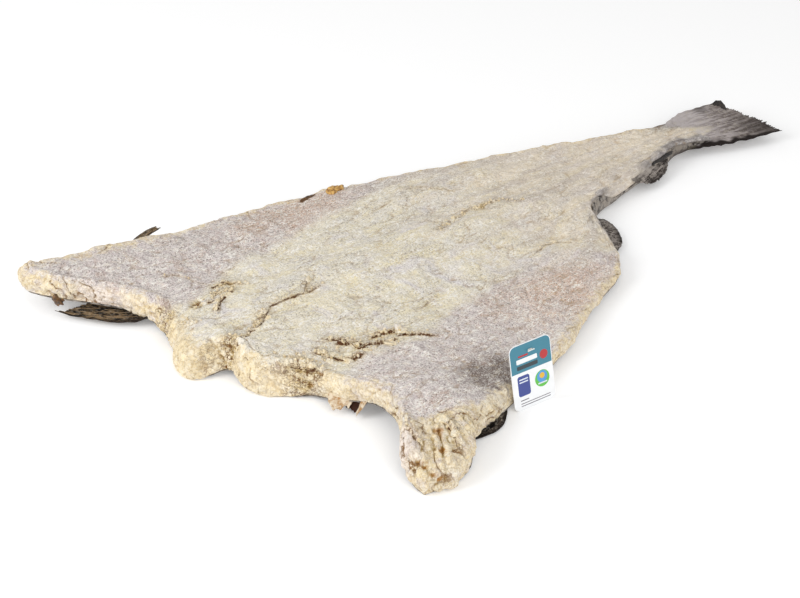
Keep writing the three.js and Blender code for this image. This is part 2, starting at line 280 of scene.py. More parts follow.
def near(x, y, path, reach):
    """1 on a path of (x, y) corners in mm, falling to 0 at the reach."""
    corners = np.array(path, float)
    gap = np.full(len(x), np.inf)
    for start, along in zip(corners[:-1], np.diff(corners, axis=0)):
        t = np.clip(((x - start[0]) * along[0] + (y - start[1]) * along[1]) / (along @ along), 0, 1)
        gap = np.minimum(gap, np.hypot(x - start[0] - t * along[0], y - start[1] - t * along[1]))
    return bump(gap, reach)


def patch(x, y, centre, across, along):
    """A round patch, 1 at its centre and 0 outside its two radii in mm."""
    return bump(np.hypot((x - centre[0]) / across, (y - centre[1]) / along), 1)


def strongest(x, y, patches):
    """The strongest patch at each place, of patches with a centre, two radii and a strength."""
    return np.max([share * patch(x, y, *place) for *place, share in patches], axis=0)


def face_normals(points, faces):
    """Unit normal at each point: the sum of the cross products of its cells' diagonals."""
    total = np.zeros_like(points)
    for cells in faces:
        corner = points[cells]
        cross = np.cross(corner[:, 2] - corner[:, 0], corner[:, -1] - corner[:, 1])
        for k in range(cells.shape[1]):
            for axis in range(3):
                total[:, axis] += np.bincount(cells[:, k], cross[:, axis], len(points))
    return total / np.maximum(np.linalg.norm(total, axis=1, keepdims=True), 1e-12)


# The fish's frame has its origin in the neck notch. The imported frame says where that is.
neck_u = np.linspace(-1, 1, 401)
neck_x, neck_y = plan_point(neck_u, np.zeros(len(neck_u)))
fish_origin = np.array(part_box("split_cod")[0]) / MM - (neck_x.min(), neck_y.min(), 0)


def make_piece(name, points, faces, marks=None, smooth=True):
    """A mesh object from points in the fish's frame in mm, arrays of three- or four-cornered cells,
    and marks, which are named numbers kept at each point for the material."""
    mesh = bpy.data.meshes.new(name)
    corners = np.concatenate([cells.ravel() for cells in faces])
    sizes = np.concatenate([np.full(len(cells), cells.shape[1]) for cells in faces])
    mesh.vertices.add(len(points))
    mesh.vertices.foreach_set("co", ((points + fish_origin) * MM).astype(np.float32).ravel())
    mesh.loops.add(len(corners))
    mesh.loops.foreach_set("vertex_index", corners.astype(np.int32))
    mesh.polygons.add(len(sizes))
    mesh.polygons.foreach_set("loop_start", (np.cumsum(sizes) - sizes).astype(np.int32))
    mesh.polygons.foreach_set("use_smooth", np.full(len(sizes), smooth))
    mesh.update(calc_edges=True)
    mesh.validate()
    for key, values in (marks or {}).items():
        mark = mesh.attributes.new(key, "FLOAT", "POINT")
        mark.data.foreach_set("value", np.asarray(values, np.float32))
    piece = bpy.data.objects.new(name, mesh)
    bpy.context.scene.collection.objects.link(piece)
    return piece


# Torn lines of the flesh face, as (x, y) corners in mm, and how deep each one gapes. The flesh stands
# up in a lip on the left of each, as seen along it.
RIFTS = [([(4, -8), (0, 7), (-9, 24), (-11, 38), (-18, 50)], 0.5),
         ([(-18, 50), (-30, 66), (-34, 76), (-33, 92), (-32, 104), (-31, 118), (-31, 132)], 0.4),
         ([(-33, 119), (-38, 124), (-43, 131)], 0.3),
         ([(72, 120), (76, 132), (79, 140), (85, 144), (90, 147)], 0.9),
         ([(89, 143), (94, 156), (101, 162), (107, 168)], 0.5),
         ([(76, 98), (79, 105), (84, 112), (88, 119), (91, 128)], 0.7),
         ([(50, 80), (56, 88), (67, 96), (72, 100)], 0.6),
         ([(62, 84), (66, 88), (76, 92), (80, 97)], 0.7),
         ([(60, 56), (65, 60), (75, 60)], 0.5),
         ([(76, 66), (83, 67), (86, 73), (88, 84)], 0.7),
         ([(-64, 30), (-74, 40), (-77, 51), (-81, 61)], 0.7),
         ([(-83, 20), (-83, 30), (-80, 36)], 0.5),
         ([(-107, 58), (-107, 70), (-100, 77), (-92, 81)], 0.4),
         ([(-160, 34), (-152, 49), (-133, 54), (-119, 58)], 0.2),
         ([(44, 4), (56, 18), (65, 30), (74, 37)], 0.6),
         ([(62, 187), (56, 207), (52, 225)], 0.2),
         ([(60, 363), (54, 385), (54, 402), (66, 412)], 0.25),
         ([(-129, 346), (-117, 369), (-94, 387)], 0.2),
         ([(-116, 285), (-119, 302), (-121, 318)], 0.2),
         ([(-39, 340), (-46, 367), (-44, 392), (-36, 407)], 0.2),
         ([(202, 38), (213, 32), (229, 29), (240, 27)], 0.3),
         ([(226, 66), (240, 64), (256, 56)], 0.5)]

# Crumbled lines and patches: where they are, how far they reach and how strong they are. Then the one
# face of the neck that the knife left smooth, and slow swellings and dents: centre, reach and height.
CRUMB_LINES = [([(-92, 46), (-93, 58), (-89, 68)], 9, 1.0),
               ([(-107, 58), (-107, 70), (-95, 80)], 6, 0.6),
               ([(-16, 36), (-24, 52), (-36, 66)], 7, 0.7),
               ([(70, 96), (80, 114), (86, 128)], 7, 0.5),
               ([(-32, 310), (-39, 340), (-46, 367), (-44, 392), (-36, 407), (-16, 419)], 10, 0.6)]
CRUMB_PATCHES = [((-9, -1), 15, 18, 1.0), ((66, 30), 40, 30, 0.9), ((62, 62), 28, 22, 0.5),
                 ((-104, -8), 34, 20, 0.85), ((84, 118), 20, 34, 0.35), ((-100, 62), 18, 24, 0.4),
                 ((-68, -5), 24, 14, 0.6), ((-22, -16), 13, 15, 0.65)]
CUT_FACE = ((20, -3), 24, 16)
SWELLINGS = [((-262, -62), 26, 4), ((-226, -50), 17, 5), ((-150, -16), 24, 4), ((-206, -40), 12, -2),
             ((-176, -24), 14, -2), ((-46, -32), 40, 4), ((22, -6), 30, 2), ((262, 40), 22, 3),
             ((-91, 24), 13, -3), ((-110, 71), 7, 2.5), ((-124, 86), 8, -1.5)]

# Pits in the worn edge, as (x, y, z) and radius in mm, brown inside, and stained places of the face,
# as centre, the two radii and how strong.
PITS = [((-54, -11, 40), 4), ((-58, -28, 21), 4), ((-13, -6, 24), 5), ((-11, -3, 11), 5),
        ((82, 39, 31), 4), ((75, 31, 16), 4), ((232, 56, 36), 7), ((238, 51, 31), 6), ((251, 42, 31), 6),
        ((247, 14, 29), 6), ((254, 17, 26), 6), ((261, 19, 19), 6), ((266, 24, 15), 6)]
SOILED = [((250, 38), 32, 44, 0.8), ((-9, -3), 15, 18, 0.5), ((-90, 26), 15, 22, 1.3),
          ((-104, 68), 14, 18, 0.9), ((-110, 71), 6, 6, 1.2), ((-85, 110), 14, 9, 0.8),
          ((-100, -8), 20, 14, 0.5), ((66, 30), 28, 28, 0.4), ((74, 96), 20, 40, 0.4),
          ((-42, 385), 16, 42, 0.4), ((-50, 240), 22, 18, 0.5), ((-96, 385), 18, 30, 0.3)]


def beside(x, y, rifts):
    """Distance in mm from the nearest rift, signed by the side of it, the plain distance, which also
    grows past its ends, and how deep that rift gapes."""
    nearest, signed, depth = (np.full(len(x), value) for value in (99.0, 99.0, 0.0))
    for path, gape in rifts:
        corners = np.array(path, float)
        for start, along in zip(corners[:-1], np.diff(corners, axis=0)):
            length = np.hypot(*along)
            t = np.clip(((x - start[0]) * along[0] + (y - start[1]) * along[1]) / length ** 2, 0, 1)
            gap = np.hypot(x - start[0] - t * along[0], y - start[1] - t * along[1])
            side = (along[0] * (y - start[1]) - along[1] * (x - start[0])) / length
            closer = gap < nearest
            nearest, signed, depth = (np.where(closer, new, old) for new, old in
                                      ((gap, nearest), (side, signed), (gape, depth)))
    return signed, nearest, depth


# How far the skin comes up the worn edge, by y on both sides.
right_wrap = through([(8, 0.05), (420, 0.08), (440, 0.3), (456, 0.7), (474, 0.86), (505, 0.8),
                      (530, 0.4), (560, 0.3), (585, 0.45), (640, 0.65), (670, 0.62), (700, 0.55),
                      (712, 0.45)])
left_wrap = through([(-78, 0.05), (500, 0.12), (640, 0.3), (690, 0.7), (712, 0.75)])
NECK_WRAP = 0.05
TAIL_WRAP = 0.35


def skin_wrap(u, v):
    """How far the skin comes up the worn edge at a border place, 0 at its foot and 1 at the face."""
    y = mix(front_edge(u), BODY_LENGTH, v)
    wrap = np.where(u > 0, right_wrap(y), left_wrap(y))
    wrap = np.where((v <= 0) & (np.abs(u) < 1), NECK_WRAP, wrap)
    return np.where((v >= 1) & (np.abs(u) < 1), TAIL_WRAP, wrap)


# How far in from each side the cut edge slopes down, by y: most on the collars.
left_bevel = through([(-78, 26), (40, 26), (120, 14), (712, 14)])
right_bevel = through([(8, 42), (60, 42), (100, 28), (150, 16), (220, 13), (712, 13)])

# The right collar's torn end, where the cream flesh comes up over the face: its root, and where it
# starts, x by y.
COLLAR_ROOT = (200, 82, 0)
collar_seam = through([(8, 222), (20, 210), (40, 205), (60, 209), (95, 218), (138, 216), (190, 214)])


def wing(x, y):
    """1 on the torn end of the right collar, 0 on the flap behind its seam."""
    return ease(-7, 7, x - collar_seam(y)) * (1 - ease(150, 200, y))


def inside_edge(x, y):
    """How far a place is inside the cut neck, in mm, and how far down it is on the sloping edge of
    the nearer side, 0 where that starts and 1 at the outline."""
    bevel = np.where(x < middle(y), 1 - (x - left_edge(y)) / left_bevel(y),
                     1 - (right_edge(y) - x) / right_bevel(y))
    return y - front_edge(sideways(x, y)), np.clip(bevel, 0, 1)


# Heights and depths of the flesh's relief in mm.
PIT_DEPTH = 4
FOLD_HEIGHT = 10                  # of the right collar's folds, for each unit of their noise
RIB_HEIGHT = 1.1                  # of the long bands towards the tail
LIP_HEIGHT = 4.6                  # of the lifted side of a rift that gapes fully
RIFT_DEPTH = 2.6
UNDER_SKIN = 0.6                  # how much lower the flesh lies where the skin covers it


def sculpt(points, rim, covered):
    """Height in mm of the torn flesh above its smooth form, and marks of how it was made. Slow
    swellings, wrinkles and creases, crumbs on lines and patches, pits, the collar's fan of folds, long
    low bands towards the tail, and gaping rifts with one lifted lip are added up. rim goes from 0 on
    the face to 1 where the worn edge meets the underside. Under the skin the flesh is smooth and lies
    a little lower."""
    bend = np.stack([noise(points, 15, seed) for seed in (1, 2, 3)], axis=1)
    fine_bend = np.stack([noise(points, 5, seed) for seed in (21, 22, 23)], axis=1)
    bent = points + 4 * bend + 1.6 * fine_bend
    x, y = bent.T[:2]
    from_neck, bevel = inside_edge(points[:, 0], points[:, 1])
    neck = 1 - ease(4, 34, from_neck)
    side = ease(0, 0.85, bevel) * (1 - neck)
    open_edge = 1 - ease(0.8, 0.98, rim)

    # Where it crumbled, where the knife left it smooth, where it is stained, and the pits.
    crumbly = np.max([share * near(x, y, path, reach) for path, reach, share in CRUMB_LINES], axis=0)
    crumbly = np.maximum(crumbly, strongest(x, y, CRUMB_PATCHES))
    smooth = patch(*points.T[:2], *CUT_FACE) * ease(0.1, 0.3, rim)
    crumbly *= 1 - 0.8 * smooth
    soil = strongest(x, y, SOILED)
    off_place = points + bend + 2 * fine_bend
    pit = np.max([bump(np.linalg.norm(off_place - centre, axis=1), radius) for centre, radius in PITS],
                 axis=0)

    # Swellings, creases, wrinkles and crumbs, most on the cut neck and the worn sides.
    swell = noise(bent, 26, 7)
    fold = mix(noise(bent * (1, 0.4, 1), 15, 18), noise(bent * (1, 1, 0.6), 15, 16), neck)
    creased = ease(-0.25, 0.25, noise(points, 34, 19))
    crease = bump(fold, 0.12) * np.maximum(np.maximum(creased, soil), 0.6 * neck)
    wrinkles = np.minimum(np.abs(noise(bent * (1, 1, 0.5), 9, 17)), 0.35)
    plates = np.minimum(1.9 * lumps(bent * (0.6, 0.7, 1.1), 11, 8), 1)
    crumbs = lumps(bent * (0.75, 0.75, 1.2), 6, 4)
    on_rim = 0.3 + 0.7 * ease(0, 0.25, rim)
    height = neck * (1 - 0.4 * smooth) * on_rim * (3.8 * swell - 2.4 * crease + 3.2 * wrinkles - 0.4)
    height += side * (2.2 * swell - 1.4 * crease + 2.4 * wrinkles)
    height -= (1 - neck) * (1 - side) * 0.9 * crease
    height += crumbly * (3.0 * plates + 2.0 * crumbs - 2.0)
    hem = bump(from_neck - 9, 9) - 0.5 * bump(from_neck - 24, 14)
    height += 2.2 * hem * (1 - ease(-130, -90, points[:, 0]))
    for centre, reach, rise in SWELLINGS:
        on_top = ease(0.05, 0.4, rim) if centre[1] < 0 or centre[0] > 200 else 1
        height += rise * patch(*points.T[:2], centre, reach, reach) * on_top
    height -= PIT_DEPTH * pit * open_edge

    # The right collar's folds fan out from its root, and the flap beside it is rippled along the neck.
    from_collar = points - COLLAR_ROOT
    spokes = from_collar / np.maximum(np.linalg.norm(from_collar[:, :2], axis=1, keepdims=True), 1)
    folds = np.abs(noise(spokes * (66, 66, 0) + 2.5 * bend, 9, 9))
    collar = wing(points[:, 0] - 8, points[:, 1]) * open_edge
    height += collar * (FOLD_HEIGHT * np.minimum(folds, 0.34) - 1.7)
    ripple = np.sin(from_neck * 2 * np.pi / 5 + 2 * bend[:, 0])
    height += 0.5 * ripple * (patch(x, y, (132, 56), 44, 26) + patch(x, y, (216, 44), 26, 60))

    # Slow and fine unevenness, muscle fibres, and the long bands between the muscles.
    fibre = noise(bent * (1, 0.2, 1), 6, 15)
    height += 1.6 * noise(points, 42, 10) + 1.2 * noise(points, 19, 11) + 0.8 * noise(bent, 8, 12)
    height += 0.45 * noise(bent, 4, 13) + 0.4 * fibre * ease(60, 200, y)
    lengthways = np.stack([sideways(x, y) * 10, y / 150, 0 * y], axis=1)
    ribs = noise(lengthways, 1, 50) + 0.5 * noise(bent * (1, 0.12, 1), 12, 51)
    ribs = ribs * ease(180, 400, y) * open_edge
    height += RIB_HEIGHT * ribs
    height += 0.5 * neck * on_rim * noise(fine_bend + points, 3, 14)

    # The rifts, each with a lip on its left that crumbles.
    signed, apart, gape = beside(points[:, 0] + 1.8 * bend[:, 0] + 0.6 * fine_bend[:, 0],
                                 points[:, 1] + 1.8 * bend[:, 1] + 0.6 * fine_bend[:, 1], RIFTS)
    beads = 0.65 + 0.35 * ease(-0.35, 0.25, noise(points, 9, 6))
    on_face = 1 - ease(0.2, 0.5, rim)
    lip = ease(-0.8, 0.8, signed) * (1 - ease(1, 14, signed)) * bump(apart, 17)
    height += on_face * gape * beads * (LIP_HEIGHT * lip - RIFT_DEPTH * bump(apart, 2.4))
    rift = gape * beads * on_face * bump(apart, 9)
    crumbly = np.maximum(crumbly, 1.1 * gape * lip * on_face)

    height = mix(height * open_edge, -UNDER_SKIN, covered)
    return height, {"crumbly": crumbly, "rift": rift, "rift_gap": np.clip(signed, -20, 20),
                    "fold": fold, "creased": creased, "soil": soil, "pit": pit, "ribs": ribs}


face_u, face_v = grid(COLUMNS, ROWS, CROWDING)
face_x, face_y = plan_point(face_u, face_v, front_slope(face_u), left_slope, right_slope, TAIL_SLOPE)
face_points = np.stack([face_x, face_y, underside(face_x, face_y) + thickness(face_x, face_y)], axis=1)
rim_top = border(COLUMNS, ROWS)


def edge_loops(u, v):
    """The worn edge's three loops at border places (u, v): where the flat of the face stops, the
    outline, and where the underside stops."""
    top_x, top_y = plan_point(u, v, front_slope(u), left_slope, right_slope, TAIL_SLOPE)
    low_x, low_y = plan_point(u, v, *UNDER_SLOPES)
    out_x, out_y = plan_point(u, v)
    top = np.stack([top_x, top_y, underside(top_x, top_y) + thickness(top_x, top_y)], axis=1)
    low = np.stack([low_x, low_y, underside(low_x, low_y)], axis=1)
    out = np.stack([out_x, out_y, mix(low[:, 2], top[:, 2], WIDEST)], axis=1)
    return top, out, low


def edge_point(loops, down):
    """A point on the worn edge, down from 0 at the face to 1 at the underside: two quarter ellipses
    that meet upright on the outline."""
    top, out, low = loops
    above = down <= UPPER_PART
    turn = np.where(above, down / UPPER_PART, (1 - down) / (1 - UPPER_PART)) * np.pi / 2
    inner = np.where(above[:, None], top, low)
    plan = mix(inner[:, :2], out[:, :2], np.sin(turn)[:, None])
    return np.column_stack([plan, mix(out[:, 2], inner[:, 2], np.cos(turn))])


rim_u, rim_v = face_u[rim_top], face_v[rim_top]
rim_loops = edge_loops(rim_u, rim_v)
rings = [edge_point(rim_loops, np.full(len(rim_u), k / EDGE_RINGS)) for k in range(1, EDGE_RINGS + 1)]

base_u, base_v = grid(COLUMNS // COARSE, ROWS // COARSE, CROWDING)
base_x, base_y = plan_point(base_u, base_v, *BASE_INSETS)
base_points = np.stack([base_x, base_y, underside(base_x, base_y) + BASE_RISE], axis=1)

flesh_points = np.concatenate([face_points, *rings, base_points])
ring_down = np.repeat(np.arange(1, EDGE_RINGS + 1) / EDGE_RINGS, len(rim_u))
flesh_down = np.concatenate([np.zeros(len(face_u)), ring_down, np.ones(len(base_u))])
loop_numbers = ring_numbers(rim_top, len(face_points), EDGE_RINGS)
base_first = len(face_points) + EDGE_RINGS * len(rim_u)
base_loop = base_first + border(COLUMNS // COARSE, ROWS // COARSE)
flesh_faces = [grid_quads(COLUMNS, ROWS), bands(loop_numbers), stitch(loop_numbers[-1], base_loop),
               grid_quads(COLUMNS // COARSE, ROWS // COARSE, base_first, flip=True)]

# The flesh is covered below the skin's hem.
wrap = np.tile(skin_wrap(rim_u, rim_v), EDGE_RINGS)
ring_covered = ease(-0.06, 0.02, ring_down - 1 + wrap)
covered = np.concatenate([np.zeros(len(face_u)), ring_covered, np.ones(len(base_u))])
lift, torn = sculpt(flesh_points, flesh_down, covered)
flesh_points = flesh_points + face_normals(flesh_points, flesh_faces) * lift[:, None]


def hollows(points, faces, normals, rounds):
    """How far each point lies below its surroundings, in mm along its normal: the surroundings are
    the mesh after so many rounds of moving every point to the mean of its neighbours."""
    joined = np.concatenate([np.stack([cells[:, k], cells[:, (k + 1) % cells.shape[1]]], axis=1)
                             for cells in faces for k in range(cells.shape[1])])
    joined = np.concatenate([joined, joined[:, ::-1]])
    count = np.bincount(joined[:, 0], minlength=len(points))
    moved = points
    for _ in range(rounds):
        moved = np.stack([np.bincount(joined[:, 0], moved[joined[:, 1], axis], len(points)) / count
                          for axis in range(3)], axis=1)
    return ((moved - points) * normals).sum(axis=1)


# Pink, rosy white and dark grey patches of the face.
PINK = [((-178, 215), 58, 140, 1.15), ((128, 318), 70, 120, 1.15)]
ROSY = [((218, 18), 40, 28, 1.3), ((-190, -28), 60, 34, 1.0)]
DARK_PATCH = ((198, 166), 54, 62)
SMALL_DARK_PATCH = ((-208, 93), 9, 6)

# Where the flaps' lilac membrane ends and the cream loin begins, as x by y.
left_seam = through([(-60, -104), (18, -98), (97, -128), (188, -138), (261, -149), (372, -150),
                     (430, -150)])
right_seam = through([(20, 120), (70, 100), (112, 96), (156, 104), (198, 92), (228, 82), (301, 76),
                      (359, 74), (398, 82), (440, 130)])

# How cream the cut neck has dried along its width: whiter on the collars, yellow between them.
neck_cream = through([(-270, 0.6), (-200, 0.55), (-120, 0.6), (-98, 1), (70, 1), (150, 0.9), (200, 0.6),
                      (232, 0.5), (248, 1), (270, 1)])

# Half the width of the flesh that runs out onto the tail fin, by y.
tongue_half = through([(600, 60), (640, 20), (682, 19), (704, 14), (722, 7), (738, 2), (760, 1)])


def tongue(x, y):
    """1 on the tongue of bare flesh that runs out over the root of the tail fin, 0 on the skin and
    web beside it."""
    off = np.abs(x + 20 - 0.2 * (y - 640)) / tongue_half(y)
    return (1 - ease(0.5, 1.3, off)) * (1 - ease(704, 746, y))


def flesh_marks(points, down, torn):
    """Numbers for the material at each point: flap membrane, its pink blush, its dark grey patches,
    cream of the worn edge, rosy white of the collars, grey and dull rear of the tail, and what the
    tearing left."""
    x, y = points.T[:2]
    sway = 9 * noise(points, 26, 20) + 4 * noise(points, 9, 24)
    flap = np.maximum(1 - ease(-12, 10, x + sway - left_seam(y)),
                      ease(-12, 10, x + sway - right_seam(y)))
    blush = np.clip(strongest(x, y, PINK) * (0.9 + 0.8 * noise(points, 30, 22)), 0, 1)
    dark_patch = np.clip(patch(x, y, *DARK_PATCH) * (1.3 + 0.8 * noise(points, 18, 23)), 0, 1)
    dark_patch = np.maximum(dark_patch, 0.9 * patch(x + 0.5 * sway, y, *SMALL_DARK_PATCH))
    from_neck, bevel = inside_edge(x, y)
    worn = neck_cream(x) * (1 - ease(-4, 24, from_neck))
    worn = np.maximum(worn, 0.9 * ease(-0.1, 1, bevel))
    worn = np.maximum(worn, mix(0.75, 1, neck_cream(x)) * ease(0.05, 0.35, down))
    worn *= 1 - 0.85 * ease(400, 460, y) * (x > middle(y))
    worn = np.maximum(worn, 0.75 * torn["crumbly"])
    worn = np.maximum(worn, wing(x + 0.5 * sway, y + 0.5 * sway))
    wander = 5 * noise(points, 12, 25) + 3 * noise(points, 5, 26)
    grey = ease(645, 690, y + wander) * (1 - tongue(x + 0.5 * wander, y + wander))
    rear = ease(240, 560, y + sway) * (1 - grey)
    from_right = right_edge(y) - x
    grey = np.maximum(grey, ease(560, 610, y) * (1 - ease(2, 17, from_right + 1.5 * wander)))
    by_front_fin = ease(440, 462, y) * (1 - ease(505, 540, y)) * (1 - ease(4, 11, from_right + wander))
    grey = np.maximum(grey, by_front_fin)
    return {"flap": flap, "blush": blush, "dark_patch": dark_patch, "worn": np.clip(worn, 0, 1),
            "rosy": strongest(x, y, ROSY), "grey": grey, "rear": rear, **torn}


flesh_normals = face_normals(flesh_points, flesh_faces)
# How far each point lies below its surroundings, which the material paints browner as shade.
torn["hollow"] = hollows(flesh_points, flesh_faces, flesh_normals, rounds=8)
flesh = make_piece("flesh", flesh_points, flesh_faces, flesh_marks(flesh_points, flesh_down, torn))


def linear(code):
    """An sRGB hex colour as the linear red, green, blue and alpha that a shader takes."""
    share = np.array([int(code[i:i + 2], 16) for i in (1, 3, 5)]) / 255
    light = np.where(share <= 0.04045, share / 12.92, ((share + 0.055) / 1.055) ** 2.4)
    return (*light, 1.0)


def add(tree, kind, inputs=None, out=0, **settings):
    """Adds a shader node with its settings, and its inputs, each a value or another node's output,
    and gives the output that it is wanted for."""
    node = tree.nodes.new("ShaderNode" + kind)
    for key, value in settings.items():
        setattr(node, key, value)
    for key, value in (inputs or {}).items():
        if isinstance(value, bpy.types.NodeSocket):
            tree.links.new(value, node.inputs[key])
        else:
            node.inputs[key].default_value = value
    return node.outputs[out]


def new_material(name, **constants):
    """A material with one principled shader, its constant inputs set: the material, its tree and
    that shader."""
    material = bpy.data.materials.new(name)
    material.use_nodes = True
    shader = material.node_tree.nodes["Principled BSDF"]
    for key, value in constants.items():
        shader.inputs[key.replace("_", " ")].default_value = value
    return material, material.node_tree, shader


# Salted dried cod flesh: a matt crust of salt grains on torn, fibrous muscle. It scatters light
# softly, so it looks pale and dry, with darker pits between the grains, and browner in its hollows,
# creases and cracks, which is painted shade. The grains are under 1 mm, and drawn 1.5 to 2.4 mm wide
# so that they show.
crust, tree, shader = new_material("salted dried flesh", Roughness=0.8)
place = add(tree, "TexCoord", out="Object")
flap, blush, dark_patch, worn, rosy, grey, rear, hollow = (
    add(tree, "Attribute", out="Fac", attribute_name=key)
    for key in ("flap", "blush", "dark_patch", "worn", "rosy", "grey", "rear", "hollow"))
rift, rift_gap, fold, creased, crumbly, soil, pit, ribs = (
    add(tree, "Attribute", out="Fac", attribute_name=key)
    for key in ("rift", "rift_gap", "fold", "creased", "crumbly", "soil", "pit", "ribs"))

# Cloudy patches by their size in mm, the noise heights that they start and are full at, and how much
# finer noise and twist they have.
clouds = {}
for key, size, low, high, detail, twist in [("drifts", 48, 0.36, 0.64, 4, 0.8),
                                            ("bloom", 38, 0.52, 0.72, 3, 1),
                                            ("russet", 20, 0.5, 0.7, 4, 0.8),
                                            ("bleached", 15, 0.5, 0.68, 3, 1),
                                            ("mottle", 9, 0.36, 0.64, 4, 0),
                                            ("swirl", 7, 0.34, 0.66, 4, 1.2),
                                            ("broken", 5, 0.35, 0.47, 2, 0)]:
    cloud = add(tree, "TexNoise", {"Vector": place, "Scale": 1 / (size * MM), "Detail": detail,
                                   "Roughness": 0.62, "Distortion": twist})
    clouds[key] = add(tree, "MapRange", {0: cloud, 1: low, 2: high})
drifts, bloom, russet, bleached, mottle, swirl, broken = clouds.values()

# The loins' pale streaks lie along the fish.
along_fish = add(tree, "Mapping", {"Vector": place, "Rotation": (0, 0, math.radians(4)),
                                   "Scale": (1, 0.34, 1)})
streaks = add(tree, "TexNoise", {"Vector": along_fish, "Scale": 1 / (16 * MM), "Detail": 5,
                                 "Roughness": 0.62, "Distortion": 0.6})
streaks = add(tree, "MapRange", {0: streaks, 1: 0.34, 2: 0.66})

# Salt grains, and the pits between them.
grain = add(tree, "TexNoise", {"Vector": place, "Scale": 1 / (1.5 * MM), "Detail": 2, "Roughness": 0.7})
pits = add(tree, "TexNoise", {"Vector": place, "Scale": 1 / (2.4 * MM), "Detail": 3, "Roughness": 0.75})

# Long bands of the muscle run to the tail, some darker and some paler.
dark_rib = add(tree, "MapRange", {0: ribs, 1: 0.08, 2: 0.45, 4: 0.8})
pale_rib = add(tree, "MapRange", {0: ribs, 1: -0.1, 2: -0.5, 4: 0.6})

# Pink comes up where the mottling is pale. The worn edge and crumbs are cream, in an uneven line that
# the mottling carries in over the face.
pink = add(tree, "Math", {0: mottle, 1: 1.0}, operation="ADD")
pink = add(tree, "Math", {0: pink, 1: blush}, operation="MULTIPLY")
pink = add(tree, "MapRange", {0: pink, 1: 0.2, 2: 1.65})
ragged = add(tree, "MapRange", {0: mottle, 3: -0.4, 4: 0.4})
ragged = add(tree, "Math", {0: worn, 1: ragged}, operation="ADD")
ragged = add(tree, "MapRange", {0: ragged, 1: 0.25, 2: 0.95})

# Salt grains and the dark pits between them, stronger on the flaps than on the loins, and weak on the
# worn edge and on the grey of the tail.
quiet = add(tree, "MapRange", {0: ragged, 3: 1.0, 4: 0.36})
quiet = add(tree, "MapRange", {0: grey, 3: quiet, 4: 0.4})
calm = add(tree, "Math", {0: rear, 1: dark_patch}, operation="MAXIMUM")
calm = add(tree, "MapRange", {0: calm, 3: 1.0, 4: 0.5})
quiet = add(tree, "Math", {0: quiet, 1: calm}, operation="MULTIPLY")
salty = add(tree, "MapRange", {0: creased, 3: 0.45, 4: 0.75})
salty = add(tree, "MapRange", {0: flap, 3: salty, 4: 1.0})
salty = add(tree, "Math", {0: salty, 1: quiet}, operation="MULTIPLY")
pitted = add(tree, "MapRange", {0: pits, 1: 0.49, 2: 0.33, 4: salty})
dimmed = add(tree, "MapRange", {0: grain, 1: 0.4, 2: 0.29, 4: salty})
salted = add(tree, "MapRange", {0: grain, 1: 0.52, 2: 0.65, 4: salty})

# Threads of dried slime and muscle: the thin level lines of three stretched noises that cross. They
# are finer than a hair, and drawn about 4 mm apart so that they show.
thread = 0.0
for turn in (35, -50, 80):
    lean = add(tree, "Mapping", {"Vector": place, "Rotation": (0, 0, math.radians(turn)),
                                 "Scale": (1, 0.28, 1)})
    level = add(tree, "TexNoise", {"Vector": lean, "Scale": 1 / (4 * MM), "Detail": 1})
    level = add(tree, "Math", {0: level, 1: 0.5, 2: 0.016}, operation="COMPARE")
    thread = add(tree, "Math", {0: level, 1: thread}, operation="MAXIMUM")
thread_show = add(tree, "MapRange", {0: mottle, 1: 0.1, 2: 0.8, 3: 0.2, 4: 1.0})
thread = add(tree, "Math", {0: thread, 1: thread_show}, operation="MULTIPLY")
thread = add(tree, "Math", {0: thread, 1: quiet}, operation="MULTIPLY")

# Painted shade browns the hollows of all the flesh. Brown dried juice stains the pits and the soiled
# places, olive where it is thin, and is painted darker in their hollows, as shade.
cavity_shade = add(tree, "MapRange", {0: hollow, 1: 0.2, 2: 1.2, 4: 0.42})
cloudy = add(tree, "MapRange", {0: swirl, 3: -0.25, 4: 0.85})
# Real stain in clouds over the soiled places, plus the hollows' depth, which is painted shade.
stain_and_shade = add(tree, "Math", {0: hollow, 1: 0.7, 2: cloudy}, operation="MULTIPLY_ADD")
stain_and_shade = add(tree, "Math", {0: stain_and_shade, 1: soil}, operation="MULTIPLY")
thin_stain_shade = add(tree, "MapRange", {0: stain_and_shade, 1: 0.05, 2: 0.6, 4: 0.75})
thick_stain_shade = add(tree, "MapRange", {0: stain_and_shade, 1: 0.5, 2: 0.95, 4: 0.9})
uneven = add(tree, "MapRange", {0: swirl, 3: 0.2, 4: 1.3})
deep = add(tree, "Math", {0: pit, 1: uneven}, operation="MULTIPLY")
tan_pit = add(tree, "MapRange", {0: deep, 1: 0.12, 2: 0.55, 4: 0.85})
dark_pit = add(tree, "MapRange", {0: deep, 1: 0.55, 2: 0.95})

# Rifts are dark brown lines with a tan border, creases thinner and broken ones. The dark lines are
# painted shade, in the gap under each rift's lifted lip and in the creases of the folds.
wander = add(tree, "MapRange", {0: swirl, 3: -0.9, 4: 0.9})
line = add(tree, "Math", {0: rift_gap, 1: wander}, operation="ADD")
line = add(tree, "Math", {0: line}, operation="ABSOLUTE")
halo = add(tree, "MapRange", {0: line, 1: 3.2, 2: 0.6, 4: rift})
line = add(tree, "MapRange", {0: line, 1: 1.1, 2: 0.35, 4: rift})
line = add(tree, "Math", {0: line, 1: broken}, operation="MULTIPLY")
line = add(tree, "MapRange", {0: line, 1: 0.06, 2: 0.4})
crease = add(tree, "MapRange", {0: pits, 1: 0.3, 2: 0.7, 3: -0.05, 4: 0.05})
crease = add(tree, "Math", {0: fold, 1: crease}, operation="ADD")
crease = add(tree, "Math", {0: crease}, operation="ABSOLUTE")
crease = add(tree, "MapRange", {0: crease, 1: 0.07, 2: 0.02, 4: creased})
crease_show = add(tree, "MapRange", {0: ragged, 3: 0.3, 4: 1.0})
